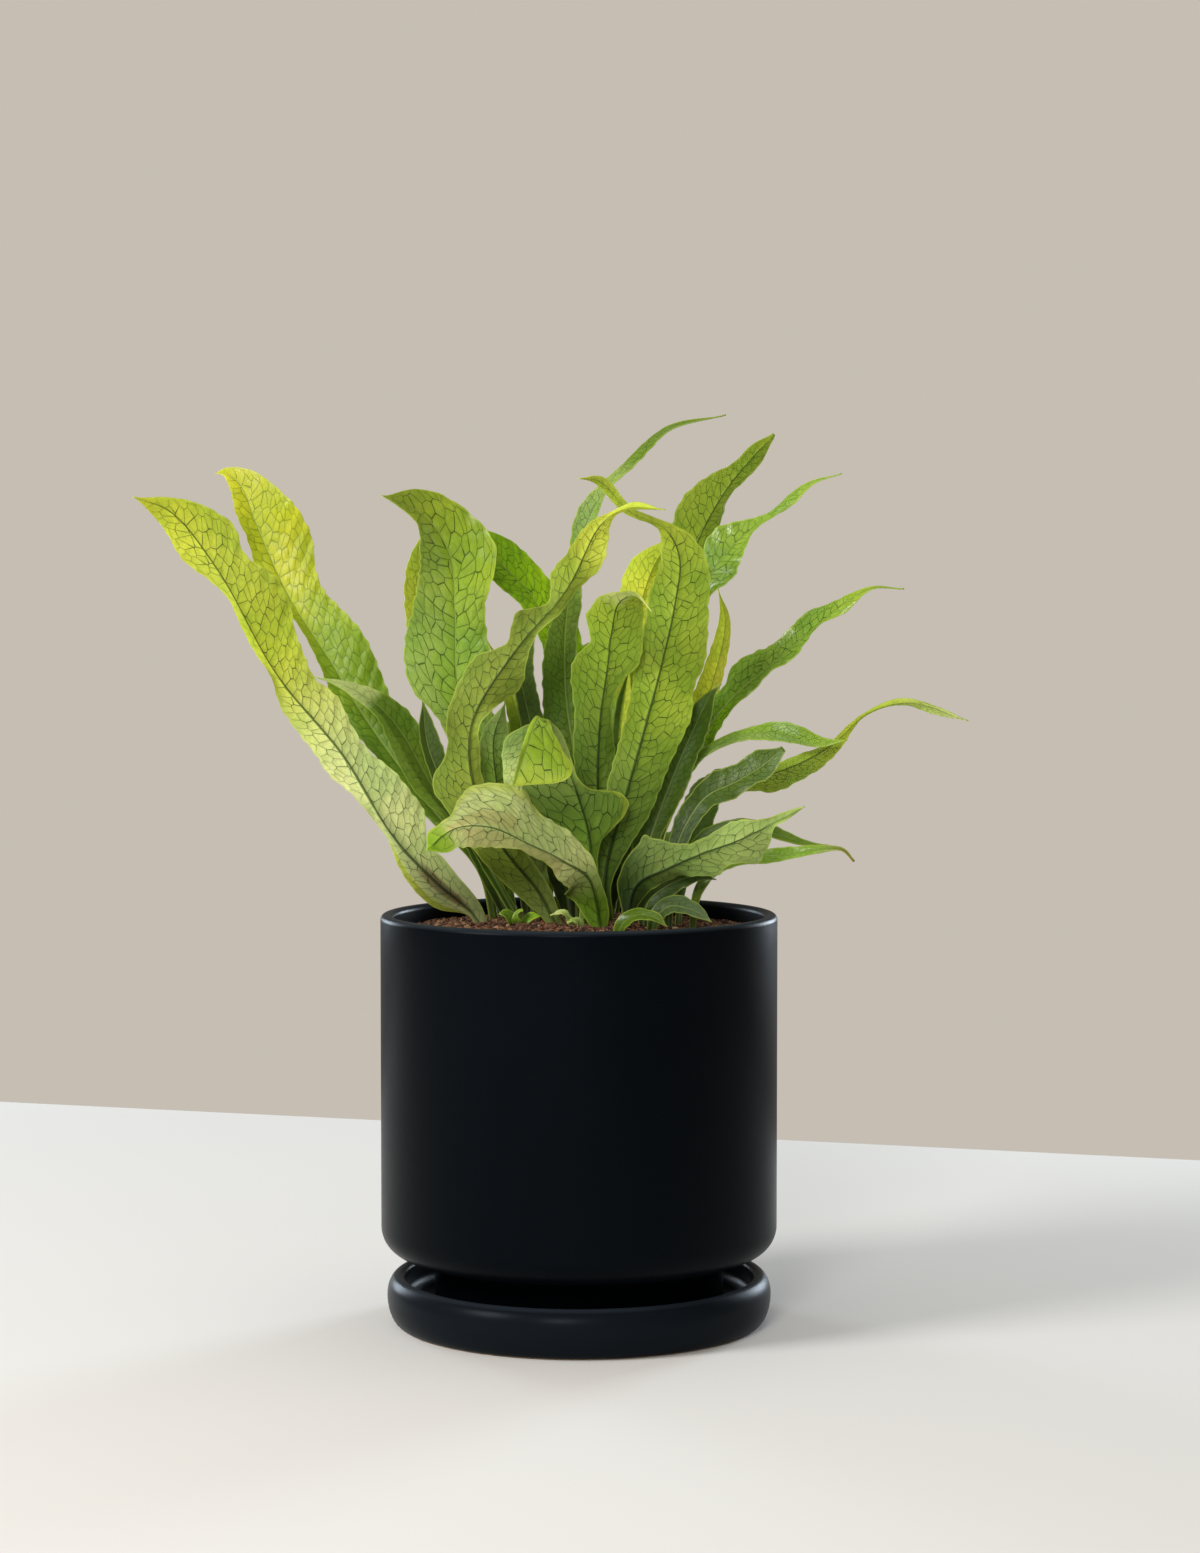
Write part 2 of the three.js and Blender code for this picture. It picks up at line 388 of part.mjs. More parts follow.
// One blade: a strip of rows from root to tip, with an upper and a lower skin and a wall round its margin.
function frondGeometry(frond) {
  const points = frond.spine.map((p) => new THREE.Vector3(...p));
  const curve = new THREE.CatmullRomCurve3(points, false, "centripetal");
  curve.arcLengthDivisions = 400;
  const even = THREE.MathUtils.clamp(Math.round(curve.getLength() / ROW_PITCH), MIN_ROWS, MAX_ROWS);
  const rows = Math.max(even, frond.left.length - 1);
  const widest = Math.max(...frond.left) + Math.max(...frond.right);
  const across = widest > NARROW_WIDTH ? [-1, -0.5, 0, 0.5, 1] : [-1, 0, 1];
  const mirror = frond.seen === "under" ? -1 : 1;
  const upper = [];
  const lower = [];
  for (let i = 0; i <= rows; i++) {
    const u = i / rows;
    const centre = curve.getPointAt(u);
    const tangent = curve.getTangentAt(u);
    const hint = facing(frond.faces, u);
    const normal = hint.clone().addScaledVector(tangent, -hint.dot(tangent)).normalize();
    const right = new THREE.Vector3().crossVectors(tangent, normal).multiplyScalar(mirror);
    const stalk = 1 - smooth(0, STALK_SHARE, u);
    const open = smooth(0.05, 0.3, u) * (1 - smooth(0.85, 1, u));
    const fold = THREE.MathUtils.degToRad(frond.fold) * smooth(0, 0.25, u);
    const thickness = BLADE_THICKNESS + (STALK_THICKNESS - BLADE_THICKNESS) * stalk;
    const keel = KEEL_HEIGHT * (1 - 0.7 * u);
    const row = across.map((v) => {
      const margin = along(v < 0 ? frond.left : frond.right, u);
      const reach = Math.abs(v) * Math.max(margin, 0.5 * STALK_WIDTH * stalk, 0.5 * TIP_WIDTH);
      const wave = frond.wave * open * v * v * sway(u, frond.waves, frond.seed + (v < 0 ? 0 : 5.3));
      const rib = Math.abs(v) === 0.5 ? RIB_RELIEF * open * (i % 2 ? 1 : -1) : 0;
      const point = centre.clone().addScaledVector(right, Math.sign(v) * reach);
      return point.addScaledVector(normal, reach * Math.tan(fold) + wave + rib);
    });
    upper.push(row.map((p) => p.clone().addScaledVector(normal, 0.5 * thickness)));
    const sunk = (j) => -0.5 * thickness - (across[j] ? 0 : keel);
    lower.push(row.map((p, j) => p.clone().addScaledVector(normal, sunk(j))));
  }
  if (mirror < 0) {
    [...upper, ...lower].forEach((row) => row.reverse());
  }
  return stripGeometry(upper, lower);
}

// Closes two skins of the same rows and columns into one body; both are split along the same diagonals.
function stripGeometry(upper, lower) {
  const columns = upper[0].length;
  const last = columns - 1;
  const end = upper.length - 1;
  const corners = [...upper.flat(), ...lower.flat()];
  const top = (i, j) => i * columns + j;
  const under = (i, j) => upper.length * columns + i * columns + j;
  const faces = [];
  const quad = (a, b, c, d) => faces.push(a, b, c, a, c, d);
  for (let i = 0; i < end; i++) {
    for (let j = 0; j < last; j++) {
      quad(top(i, j), top(i, j + 1), top(i + 1, j + 1), top(i + 1, j));
      faces.push(under(i, j), under(i + 1, j + 1), under(i, j + 1));
      faces.push(under(i, j), under(i + 1, j), under(i + 1, j + 1));
    }
    quad(top(i, last), under(i, last), under(i + 1, last), top(i + 1, last));
    quad(under(i, 0), top(i, 0), top(i + 1, 0), under(i + 1, 0));
  }
  for (let j = 0; j < last; j++) {
    quad(under(0, j), under(0, j + 1), top(0, j + 1), top(0, j));
    quad(top(end, j), top(end, j + 1), under(end, j + 1), under(end, j));
  }
  return new THREE.BufferGeometry()
    .setAttribute("position", new THREE.Float32BufferAttribute(corners.flatMap((p) => p.toArray()), 3))
    .setIndex(faces);
}

// Turns a closed geometry into a solid that can be cut, and back.
function solid(geometry) {
  const bare = geometry.clone().deleteAttribute("normal").deleteAttribute("uv");
  const merged = mergeVertices(bare, 1e-4);
  return new wasm.Manifold(
    new wasm.Mesh({
      numProp: 3,
      vertProperties: merged.attributes.position.array,
      triVerts: new Uint32Array(merged.index.array),
    }),
  );
}

function geometryOf(manifold) {
  const mesh = manifold.getMesh();
  return new THREE.BufferGeometry()
    .setAttribute("position", new THREE.BufferAttribute(mesh.vertProperties, 3))
    .setIndex(new THREE.BufferAttribute(mesh.triVerts, 1));
}

// A profile of radius and height turned round the Z axis.
function turned(path, divisions) {
  return new THREE.LatheGeometry(path.getPoints(divisions), ROUND_SIDES).rotateX(Math.PI / 2);
}

function saucerGeometry() {
  const crest = SAUCER_BASE_RADIUS + 1;
  const inside = crest - SAUCER_LIP;
  const path = new THREE.Path();
  path.moveTo(0, 0);
  path.lineTo(SAUCER_BASE_RADIUS, 0);
  path.absellipse(SAUCER_BASE_RADIUS, SAUCER_WAIST, SAUCER_RADIUS - SAUCER_BASE_RADIUS, SAUCER_WAIST,
    -Math.PI / 2, 0);
  path.absellipse(crest, SAUCER_WAIST, SAUCER_RADIUS - crest, SAUCER_HEIGHT - SAUCER_WAIST, 0, Math.PI / 2);
  path.absarc(crest, SAUCER_HEIGHT - SAUCER_LIP, SAUCER_LIP, Math.PI / 2, Math.PI);
  path.absarc(inside - SAUCER_CORNER, SAUCER_FLOOR + SAUCER_CORNER, SAUCER_CORNER, 0, -Math.PI / 2, true);
  path.lineTo(0, SAUCER_FLOOR);
  return turned(path, 2);
}

function potGeometry() {
  const cornerR = POT_RADIUS - POT_CORNER;
  const insideCorner = POT_CORNER - 2;
  const path = new THREE.Path();
  path.moveTo(FOOT_RADIUS - FOOT_WALL, POT_FOOT_Z);
  path.lineTo(FOOT_RADIUS, POT_FOOT_Z);
  path.lineTo(FOOT_RADIUS, POT_UNDERSIDE_Z);
  path.absarc(cornerR, POT_UNDERSIDE_Z + POT_CORNER, POT_CORNER, -Math.PI / 2, 0);
  path.absarc(POT_RADIUS - RIM_ROUND, POT_RIM_Z - RIM_ROUND, RIM_ROUND, 0, Math.PI / 2);
  path.absarc(POT_INSIDE + RIM_ROUND, POT_RIM_Z - RIM_ROUND, RIM_ROUND, Math.PI / 2, Math.PI);
  path.absarc(POT_INSIDE - insideCorner, POT_FLOOR_Z + insideCorner, insideCorner, 0, -Math.PI / 2, true);
  path.lineTo(DRAIN_RADIUS, POT_FLOOR_Z);
  path.lineTo(DRAIN_RADIUS, POT_UNDERSIDE_Z);
  path.lineTo(FOOT_RADIUS - FOOT_WALL, POT_UNDERSIDE_Z);
  path.lineTo(FOOT_RADIUS - FOOT_WALL, POT_FOOT_Z);
  return turned(path, 2);
}

// The mix fills the pot to just under its rim, a little higher round the crown, with an uneven top.
function soilHeight(x, y) {
  const r = Math.hypot(x, y) / POT_INSIDE;
  const rough = Math.sin(0.31 * x + 0.9) * Math.sin(0.27 * y + 0.4) + 0.5 * Math.sin(0.53 * (x - y));
  return SOIL_EDGE_Z + SOIL_MOUND * (1 - smooth(0.1, 1, r)) + SOIL_ROUGHNESS * rough * (1 - r);
}

function soilGeometry() {
  const outside = POT_INSIDE - SEAT_GAP;
  const corner = POT_CORNER - 2;
  const floor = POT_FLOOR_Z + SEAT_GAP;
  const path = new THREE.Path();
  path.moveTo(0, floor);
  path.lineTo(outside - corner, floor);
  path.absarc(outside - corner, floor + corner, corner, -Math.PI / 2, 0);
  for (let ring = 0; ring < SOIL_RINGS; ring++) {
    path.lineTo(outside * (1 - ring / SOIL_RINGS), SOIL_EDGE_Z);
  }
  path.lineTo(0, SOIL_EDGE_Z);
  const geometry = turned(path, 2);
  const position = geometry.attributes.position;
  for (let i = 0; i < position.count; i++) {
    if (Math.abs(position.getZ(i) - SOIL_EDGE_Z) < 1e-3) {
      position.setZ(i, soilHeight(position.getX(i), position.getY(i)));
    }
  }
  return geometry;
}

// The plain hole in the mix that a frond's stalk stands in.
function socketGeometry([root, next]) {
  const foot = new THREE.Vector3(...root);
  const way = new THREE.Vector3(...next).sub(foot).normalize();
  const geometry = new THREE.CylinderGeometry(SOCKET_RADIUS, SOCKET_RADIUS, SOCKET_REACH, SOCKET_SIDES);
  geometry.translate(0, SOCKET_REACH / 2 - SOCKET_START, 0);
  geometry.applyQuaternion(new THREE.Quaternion().setFromUnitVectors(new THREE.Vector3(0, 1, 0), way));
  return geometry.translate(foot.x, foot.y, foot.z);
}

function piece(name, geometry, colour, roughness) {
  const material = new THREE.MeshStandardMaterial({ color: colour, roughness, metalness: 0 });
  const mesh = new THREE.Mesh(geometry, material);
  mesh.name = name;
  return mesh;
}

const group = new THREE.Group();
group.add(piece("saucer", saucerGeometry(), 0x15181b, 0.45));
group.add(piece("pot", potGeometry(), 0x15181b, 0.5));

let soil = solid(soilGeometry());
for (const frond of FRONDS) {
  soil = soil.subtract(solid(socketGeometry(frond.spine)));
  group.add(piece(frond.name, frondGeometry(frond), 0x7da03a, 0.5));
}
group.add(piece("potting_mix", geometryOf(soil), 0x3d2416, 0.95));

export default group;
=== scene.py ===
"""A crocodile fern in a satin black pot on its saucer: the looks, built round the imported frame.

Metres, +Z up, +X to the right of the plant's best side, +Y to its back. The tables are in millimetres.
"""
import math

import bpy
import numpy as np
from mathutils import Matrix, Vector


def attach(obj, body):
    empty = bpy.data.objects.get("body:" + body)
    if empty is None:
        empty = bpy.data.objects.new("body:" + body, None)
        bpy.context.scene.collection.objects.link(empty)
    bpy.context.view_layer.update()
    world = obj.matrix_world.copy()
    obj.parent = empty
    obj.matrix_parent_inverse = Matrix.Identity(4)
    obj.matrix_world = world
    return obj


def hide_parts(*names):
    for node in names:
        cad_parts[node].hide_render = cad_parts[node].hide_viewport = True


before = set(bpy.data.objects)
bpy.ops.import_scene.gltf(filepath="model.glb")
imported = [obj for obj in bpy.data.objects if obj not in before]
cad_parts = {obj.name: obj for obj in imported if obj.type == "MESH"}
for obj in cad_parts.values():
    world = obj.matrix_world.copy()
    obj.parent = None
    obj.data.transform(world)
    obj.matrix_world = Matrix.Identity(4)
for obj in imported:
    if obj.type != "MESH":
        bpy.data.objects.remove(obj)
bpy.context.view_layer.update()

MM = 0.001
SEED = 29

# Camera and light: a long lens level with the middle of the fronds, looking slightly down
EYE = (0.009, -1.4, 0.304)
EYE_PITCH = 2.84
FOCAL_PIXELS = 3276
FRAME_HEIGHT = 1553
SENSOR = 36.0
LIT_PLACE = (0, 0, 0.22)
RIM_BLUE = (0.76, 0.88, 1)
BACKDROP = (0.565, 0.515, 0.451, 1)
AMBIENT = (1.0, 0.9, 0.78, 1)
AMBIENT_STRENGTH = 0.225

# Pot and saucer, in millimetres
POT_RADIUS = 85
POT_RIM_Z = 176
POT_WALL = 5.4
POT_FLOOR = 7
POT_CORNER = 12
POT_INNER_CORNER = 10
POT_UNDERSIDE_Z = 30
POT_FOOT_Z = 9.3
RIM_ROUND = 2.4
FOOT_RADIUS = 62
FOOT_WALL = 7
FOOT_BEVEL = 0.8
DRAIN_RADIUS = 8
SAUCER_RADIUS = 82.5
SAUCER_BASE_RADIUS = 76.5
SAUCER_FOOT_RADIUS = 66
SAUCER_RECESS = 1.2
SAUCER_HEIGHT = 21
SAUCER_WAIST = 12.5
SAUCER_LIP = 2.5
SAUCER_FLOOR = 9
SAUCER_CORNER = 5
TURNED_SIDES = 192
ARC_STEPS = 12

# Potting mix, in millimetres
SOIL_RADIUS = 79.3
SOIL_EDGE_Z = 168.5
SOIL_MOUND = 4
SOIL_FLOOR_Z = 37.3
SOIL_RINGS = 64
SOIL_SPOKES = 256
CHIPS = 5200
FIBRES = 420
FIBRE_STEPS = 7
FIBRE_BROWN = (0.30, 0.15, 0.075)
BARK = ((0.20, 0.085, 0.042), (0.115, 0.047, 0.024), (0.052, 0.024, 0.014), (0.33, 0.17, 0.09),
    (0.46, 0.30, 0.18))
BARK_SHARES = (0.36, 0.28, 0.2, 0.12, 0.04)

# Fronds, in millimetres
FINE_STEP = 1.15
BLADE = 0.5
MARGIN_BLADE = 0.22
STALK_WIDTH = 4.6
STALK_THICKNESS = 2.2
STALK_SHARE = 0.14
BLADE_OPENS = (0.05, 0.3)
BLADE_CLOSES = (0.85, 1)
TIP_WIDTH = 0.5
KEEL_HEIGHT = 0.8
KEEL_SPREAD = 0.75
GROOVE_DEPTH = 0.3
MIDRIB_ROUND = 0.6
VEIN_PITCH = 4.2
VEIN_PITCH_PER_WIDTH = 0.15
LATERAL_SLOPE = 0.55
LATERAL_BEND = 0.016
CELL_JITTER = 0.88
PUCKER = 0.26
PLEAT = 0.2
RIPPLE = 0.25
NOTCH = 0.35
NOTCH_PITCH = 7.5
# How much painted shade darkens the roots in the middle of the crown
CROWN_SHADE = 0.62

# The net on a frond, as shares of a cell, and the ribs, in millimetres
VEIN_WIDTH = 0.026
FINE_NET = 2.3
FINE_STRENGTH = 0.16
RIB_AT_ROOT = 0.85
RIB_AT_TIP = 0.34
LINE_STRENGTH = 0.92
UNDER_ROUGHNESS = 0.62
RIB_GREEN = (0.40, 0.52, 0.12, 1)
MARGIN_GREEN = (0.52, 0.62, 0.08, 1)

# Leaf colours as sRGB, named for what they are on the plant
PALETTE = {
    "shade": (44, 60, 32),
    "dark": (70, 94, 32),
    "deep": (84, 112, 30),
    "leaf": (108, 138, 40),
    "vivid": (142, 184, 18),
    "spring": (138, 172, 62),
    "fresh": (148, 174, 46),
    "olive": (130, 148, 48),
    "pale_green": (148, 172, 94),
    "pale": (210, 222, 150),
    "blush": (196, 184, 122),
    "lime": (184, 198, 64),
    "straw": (194, 198, 42),
    "yellow": (224, 230, 70),
    "grey_green": (98, 118, 84),
    "brown": (118, 74, 42),
}

# Each frond: its spine from the root in the mix to the tip, the way its upper side faces at even steps along
# it, and how far its left and right margins stand from the midrib at even steps. Left and right are those of
# someone at the front, who sees the side named in "seen". The halves fold up from the midrib by "fold"
# degrees, and the margins wave by about "wave" millimetres, "waves" times. "upper" and "under" name the
# colours of its two sides from root to tip. A frond without "right" has the same margin on both sides, and
# the plain frond gives what else is left out.
PLAIN_FROND = dict(seen="upper", fold=10, waves=3)
FRONDS = [dict(
    name="frond_left_outer", seen="under", wave=1.6, waves=4, seed=1, slot="frond_pale",
    upper="leaf fresh lime lime", under="pale pale pale lime lime straw",
    spine=[(-39, 4, 165), (-47, 3, 177), (-62, 0, 190), (-80, -6, 210), (-100, -12, 244), (-128, -16, 279),
        (-152, -20, 323), (-171, -24, 347), (-186, -28, 353)],
    faces=[(0, 1, 0.4), (-0.2, 1, 0.2), (-0.2, 1, 0.2), (0, 1, 0.4)],
    left=[2, 2, 9, 9.5, 7, 2.5, 3, 5.5, 9.5, 9, 8.5, 7, 2.5, 3, 3, 2.5, 6, 10, 9, 6.5, 0],
    right=[2, 5, 7.5, 9.5, 10, 17, 17, 15, 10, 11, 14, 12, 14.5, 16.5, 20, 19, 13, 16, 11.5, 4, 0],
), dict(
    name="frond_left_yellow", wave=2, waves=4, seed=2, slot="frond_yellow",
    upper="leaf leaf leaf fresh straw straw", under="pale_green lime yellow",
    spine=[(-36, 23, 165), (-43, 26, 193), (-65, 32, 219), (-96, 38, 261), (-108, 40, 281), (-128, 44, 312),
        (-143, 48, 345), (-149, 50, 360), (-156, 51, 366), (-161, 52, 366)],
    faces=[(0.2, -1, 0.3), (0.2, -1, 0.3), (0.1, -1, 0.1)],
    left=[2, 2, 2, 2.5, 3, 4, 5, 6, 7, 8, 9, 7, 5, 3.5, 4, 6, 7.5, 6.5, 7, 5, 0],
    right=[2, 2, 2.5, 3, 4, 5, 6, 8, 10, 13, 16, 17.5, 18, 16.5, 14.5, 16, 20, 19.5, 16, 8, 0],
), dict(
    name="frond_left_dark", fold=16, wave=1.2, seed=3, slot="frond_dark",
    upper="shade deep deep leaf leaf pale_green", under="deep leaf pale_green",
    spine=[(-28, 13, 165), (-46, 18, 205), (-64, 16, 230), (-75, 14, 250), (-84, 12, 262), (-98, 10, 272),
        (-113, 8, 277)],
    faces=[(0.4, -0.8, 0.4), (0.3, -0.8, 0.6)],
    left=[2, 3, 5, 5, 6, 9, 11, 10, 6, 3, 0], right=[2, 4, 8, 7, 4, 4, 5, 8, 6, 3, 0],
), dict(
    name="frond_left_upright", fold=12, wave=0.8, waves=2, seed=4, slot="frond_dark",
    upper="deep dark dark", under="leaf deep",
    spine=[(-22, 3, 165), (-43, 5, 202), (-57, 5, 228), (-65, 4, 248), (-67, 2, 268)],
    faces=[(0.3, -1, 0.2), (0.2, -1, 0)],
    left=[1.5, 2, 2, 2.5, 2.5, 3.5, 3.5, 3.5, 3, 2.5, 0], right=[1.5, 2, 2, 2.5, 3, 3.5, 4.5, 5, 6, 4, 0],
), dict(
    name="frond_broad_green", fold=8, wave=2, seed=5, slot="frond_green",
    upper="deep leaf spring spring fresh olive", under="leaf pale_green pale_green",
    spine=[(-12, 9, 165), (-25, 8, 203), (-43, 5, 239), (-52, 2, 275), (-53, 0, 306), (-55, -2, 329),
        (-65, -6, 345), (-83, -14, 354)],
    faces=[(0.2, -1, 0.2), (0, -1, 0.1), (0, -1, 0.1), (0.2, -0.9, 0.4)],
    left=[2, 2, 3, 3.5, 4, 5, 6, 7, 8, 9, 12, 19.5, 22, 21, 18, 15.5, 14, 11.5, 6, 2.5, 0],
    right=[2, 2, 3, 3.5, 4, 5, 6, 7.5, 9, 11, 13, 14.5, 15, 13.5, 13, 16, 19.5, 16, 12, 7, 0],
), dict(
    name="frond_behind_broad", fold=8, wave=1.6, seed=6, slot="frond_green",
    upper="deep leaf vivid vivid vivid", under="leaf fresh fresh",
    spine=[(-4, 26, 165), (2, 34, 196), (-1, 40, 240), (-10, 44, 290), (-22, 46, 313), (-36, 44, 327),
        (-49, 40, 340)],
    faces=[(0.2, -1, 0.2), (0.3, -1, 0.3), (0.5, -0.9, 0.5)],
    left=[2, 2, 3.5, 4, 5, 6, 7, 7.5, 8, 9, 4], right=[2, 2, 3.5, 4, 5, 6, 9, 12, 11.5, 13, 5],
), dict(
    name="frond_wavy_olive", seen="under", fold=8, wave=2.6, waves=5, seed=7, slot="frond_pale",
    upper="leaf leaf fresh lime", under="pale_green olive olive olive olive lime lime",
    spine=[(-7, -11, 165), (-16, -16, 185), (-32, -24, 206), (-43.5, -30, 231), (-44.5, -32, 258),
        (-27.5, -33, 287), (-5, -33, 314), (10, -35, 342), (21, -40, 348), (36, -46, 347)],
    faces=[(0.1, 1, 0.3), (0.1, 1, 0.2), (0, 1, 0.2), (0, 1, 0.5)],
    left=[2, 4, 8, 10, 10.5, 12, 14, 18, 9.5, 11, 12, 12, 5, 10, 3, 9, 7, 5, 1.2, 1.8, 0],
    right=[2, 3.5, 5, 6, 7, 7, 6, 4, 4.5, 3.5, 7, 11, 6, 2.5, 4, 4.5, 8.5, 6.5, 1.5, 1.5, 0],
), dict(
    name="frond_front_arching", seen="under", fold=12, wave=1.6, seed=8, slot="frond_pale",
    upper="leaf spring fresh fresh", under="deep leaf pale pale pale pale fresh",
    spine=[(10, -24, 165), (5, -30, 192), (-6, -42, 201), (-20, -56, 209), (-36, -68, 217), (-50, -78, 217),
        (-61, -86, 209)],
    faces=[(0, 1, 0), (0, 1, -0.2), (-0.2, 0.9, -0.4), (-0.3, 0.9, -0.4)],
    left=[2, 3, 6, 8.5, 12, 12, 8.5, 8, 5.5, 3.5, 3.5, 4, 4, 6, 7, 8, 8.5, 8, 7, 6, 0],
    right=[2, 3, 4.5, 4.5, 4, 5, 9, 12, 13.5, 14.5, 16, 19.5, 22, 23, 22, 20, 14.5, 7, 5, 5, 0],
), dict(
    name="frond_front_folded", seen="under", fold=8, wave=1.6, seed=9, slot="frond_pale",
    upper="leaf leaf fresh fresh", under="deep leaf pale_green pale_green",
    spine=[(1, -19, 165), (5, -20, 205), (-1, -27, 230), (-10, -38, 254), (-16, -52, 261), (-21, -64, 249),
        (-26, -68, 234)],
    faces=[(0, 1, 0.1), (0, 1, 0.1), (0, 1, 0.2), (0, 1, 0.3), (0, 0.3, 1), (0.3, -1, 0.5), (0.3, -1, 0.3)],
    left=[2, 2, 2.5, 3, 4, 6, 10, 17, 24, 29, 29, 22, 12, 6, 2.5, 2, 2, 2, 2, 1.5, 1],
    right=[2, 2, 2.5, 3, 3.5, 3, 6, 17.5, 18, 6, 2.5, 2.5, 2.5, 2.5, 2, 3.5, 8, 14, 20.5, 17, 1],
), dict(
    name="frond_middle_olive", seen="under", fold=8, wave=1.8, seed=10, slot="frond_pale",
    upper="leaf fresh fresh", under="deep leaf leaf fresh lime",
    spine=[(8, 3, 165), (9, 4, 203), (8, 3, 229), (9, 0, 258), (12, -5, 280), (14, -9, 297), (17, -16, 309),
        (24, -24, 312), (31, -30, 305)],
    faces=[(0, 1, 0.1), (0, 1, 0.1), (0, 1, 0.2), (0, 0.4, 1)],
    left=[2, 2.5, 3.5, 5, 6, 7.5, 9, 9.5, 10, 10.5, 11, 11, 13, 15, 14.5, 8.5, 11.5, 8.5, 3.5, 3, 0],
    right=[2, 2.5, 3.5, 5, 6, 7, 8, 8.5, 8.5, 7.5, 6.5, 5, 4.5, 6.5, 13, 14, 13, 12, 9, 5, 0],
), dict(
    name="frond_middle_tall", seen="under", fold=8, wave=1.8, waves=4, seed=11, slot="frond_pale",
    upper="leaf fresh lime yellow", under="deep leaf leaf fresh fresh fresh lime lime",
    spine=[(13, -7, 165), (11, -8, 191), (19, -8, 223), (28, -6, 255), (36, 0, 285), (41, 4, 308),
        (43, 4, 328), (37, 0, 340), (21, -8, 348), (9, -14, 360), (0, -20, 361)],
    faces=[(0, 1, 0.1), (0, 1, 0.1), (0, 1, 0.1), (0, 1, 0.3), (0, 0.8, 0.6)],
    left=[2, 2.5, 4, 6.5, 7.5, 8.5, 9, 9, 9, 9.5, 10.5, 10.5, 11, 11.5, 9.5, 7, 2.5, 1.6, 2.4, 2.4, 0],
    right=[2, 3, 3, 5.5, 8.5, 12, 13.5, 14.5, 16.5, 18, 16, 18, 16.5, 14.5, 13, 8.5, 2, 1.6, 2.4, 2.4, 0],
), dict(
    name="frond_middle_dark", fold=8, wave=1.4, waves=4, seed=12, slot="frond_dark",
    upper="leaf leaf leaf leaf spring leaf leaf", under="leaf pale_green leaf",
    spine=[(1, 14, 165), (4, 18, 202), (-2, 20, 241), (-6, 22, 271), (-6, 22, 297), (-1, 20, 330),
        (8, 20, 352), (22, 24, 371), (38, 30, 384), (64, 38, 391)],
    faces=[(0, -1, 0.1), (0, -1, 0.1), (0, -1, 0.1), (-0.3, -0.8, 0.6), (-0.2, -0.8, 0.7)],
    left=[2, 4, 8, 9, 9, 9, 10, 11, 10, 9.5, 7.5, 4, 2, 4.5, 6, 4, 1.5, 1.5, 2, 0.8, 0],
    right=[2, 2, 3, 4, 5, 6, 6, 6, 6, 6, 5, 6, 4, 3, 4, 2, 4, 4, 1.5, 0.8, 0],
), dict(
    name="frond_right_upright", seen="under", wave=1.4, seed=13, slot="frond_green",
    upper="deep leaf leaf", under="dark leaf fresh fresh fresh",
    spine=[(18, 26, 165), (27, 30, 201), (39, 37, 266), (49, 41, 328), (62, 44, 355), (77, 48, 374),
        (86, 53.5, 383)],
    faces=[(-0.2, 1, 0.1), (-0.3, 1, 0.2), (-0.3, 1, 0.3)],
    left=[2, 2, 2, 2, 2.5, 3, 3, 4, 4.5, 5, 5, 6, 6.5, 8, 10, 13, 14, 10.5, 5, 4, 1],
    right=[2, 2, 2, 2, 2.5, 3, 3, 4, 4.5, 5, 5, 6, 6.5, 7, 7, 7, 7, 4, 5, 5, 1],
), dict(
    name="frond_right_twisted", wave=2, waves=4, seed=14, slot="frond_green",
    upper="deep leaf leaf spring spring", under="leaf pale_green pale",
    spine=[(19, 10, 165), (27, 13, 202), (38, 18, 258), (48, 23, 301), (61, 26, 327), (80, 30, 345),
        (99, 30, 360), (114, 28, 365)],
    faces=[(-0.2, -1, 0.2), (-0.3, -1, 0.2), (-0.4, -0.8, 0.6)],
    left=[2, 2, 2, 2, 2.5, 2.5, 3, 3.5, 4, 4.5, 5, 5.5, 6, 7, 8, 10.5, 5.5, 1.5, 1.5, 1, 0],
    right=[2, 2, 2, 2, 2.5, 2.5, 3, 3, 3.5, 4, 4.5, 5, 4.5, 4.5, 10.5, 8, 3, 2.5, 4, 1.2, 0],
), dict(
    name="frond_yellow_inner", seen="under", fold=8, wave=1.4, seed=15, slot="frond_yellow",
    upper="leaf lime yellow", under="leaf fresh yellow yellow",
    spine=[(9, 30, 165), (16, 35, 201), (20, 40, 253), (24, 43, 293), (31, 45, 321), (41, 45, 339)],
    faces=[(0, 1, 0.1), (0, 1, 0.1)],
    left=[2, 2, 2, 3, 4, 5, 5.5, 8, 10, 10, 0], right=[2, 2, 2, 2.5, 3.5, 4, 5, 6, 6, 4, 0],
), dict(
    name="frond_yellow_outer", seen="under", fold=20, wave=1.2, waves=2, seed=16, slot="frond_yellow",
    upper="leaf lime yellow", under="lime yellow yellow yellow",
    spine=[(26, 38, 165), (34, 42, 200), (50, 46, 248), (60, 48, 279), (64, 48, 301), (61, 46, 315)],
    faces=[(-0.5, 1, 0.1), (-0.5, 1, 0)],
    left=[1.5, 2, 3, 4, 6, 8, 8, 6, 4.5, 3, 0], right=[1.5, 2, 2.5, 3, 4, 5, 6, 6, 5, 3.5, 0],
), dict(
    name="frond_right_glossy", fold=12, wave=2, waves=4, seed=17, slot="frond_green",
    upper="dark leaf vivid leaf spring fresh", under="leaf pale_green fresh",
    spine=[(27, 17, 165), (33, 19, 198), (45, 20, 236), (64, 21, 265), (87, 22, 285), (107, 24, 302),
        (126, 24, 315), (141, 24, 315)],
    faces=[(-0.3, -0.8, 0.3), (-0.4, -0.8, 0.6), (-0.3, -0.7, 0.8)],
    left=[2, 2, 2, 2, 2, 2.5, 3, 3.5, 4, 5, 8, 7, 12, 11, 7, 6.5, 8.5, 5.5, 2, 0.7, 0],
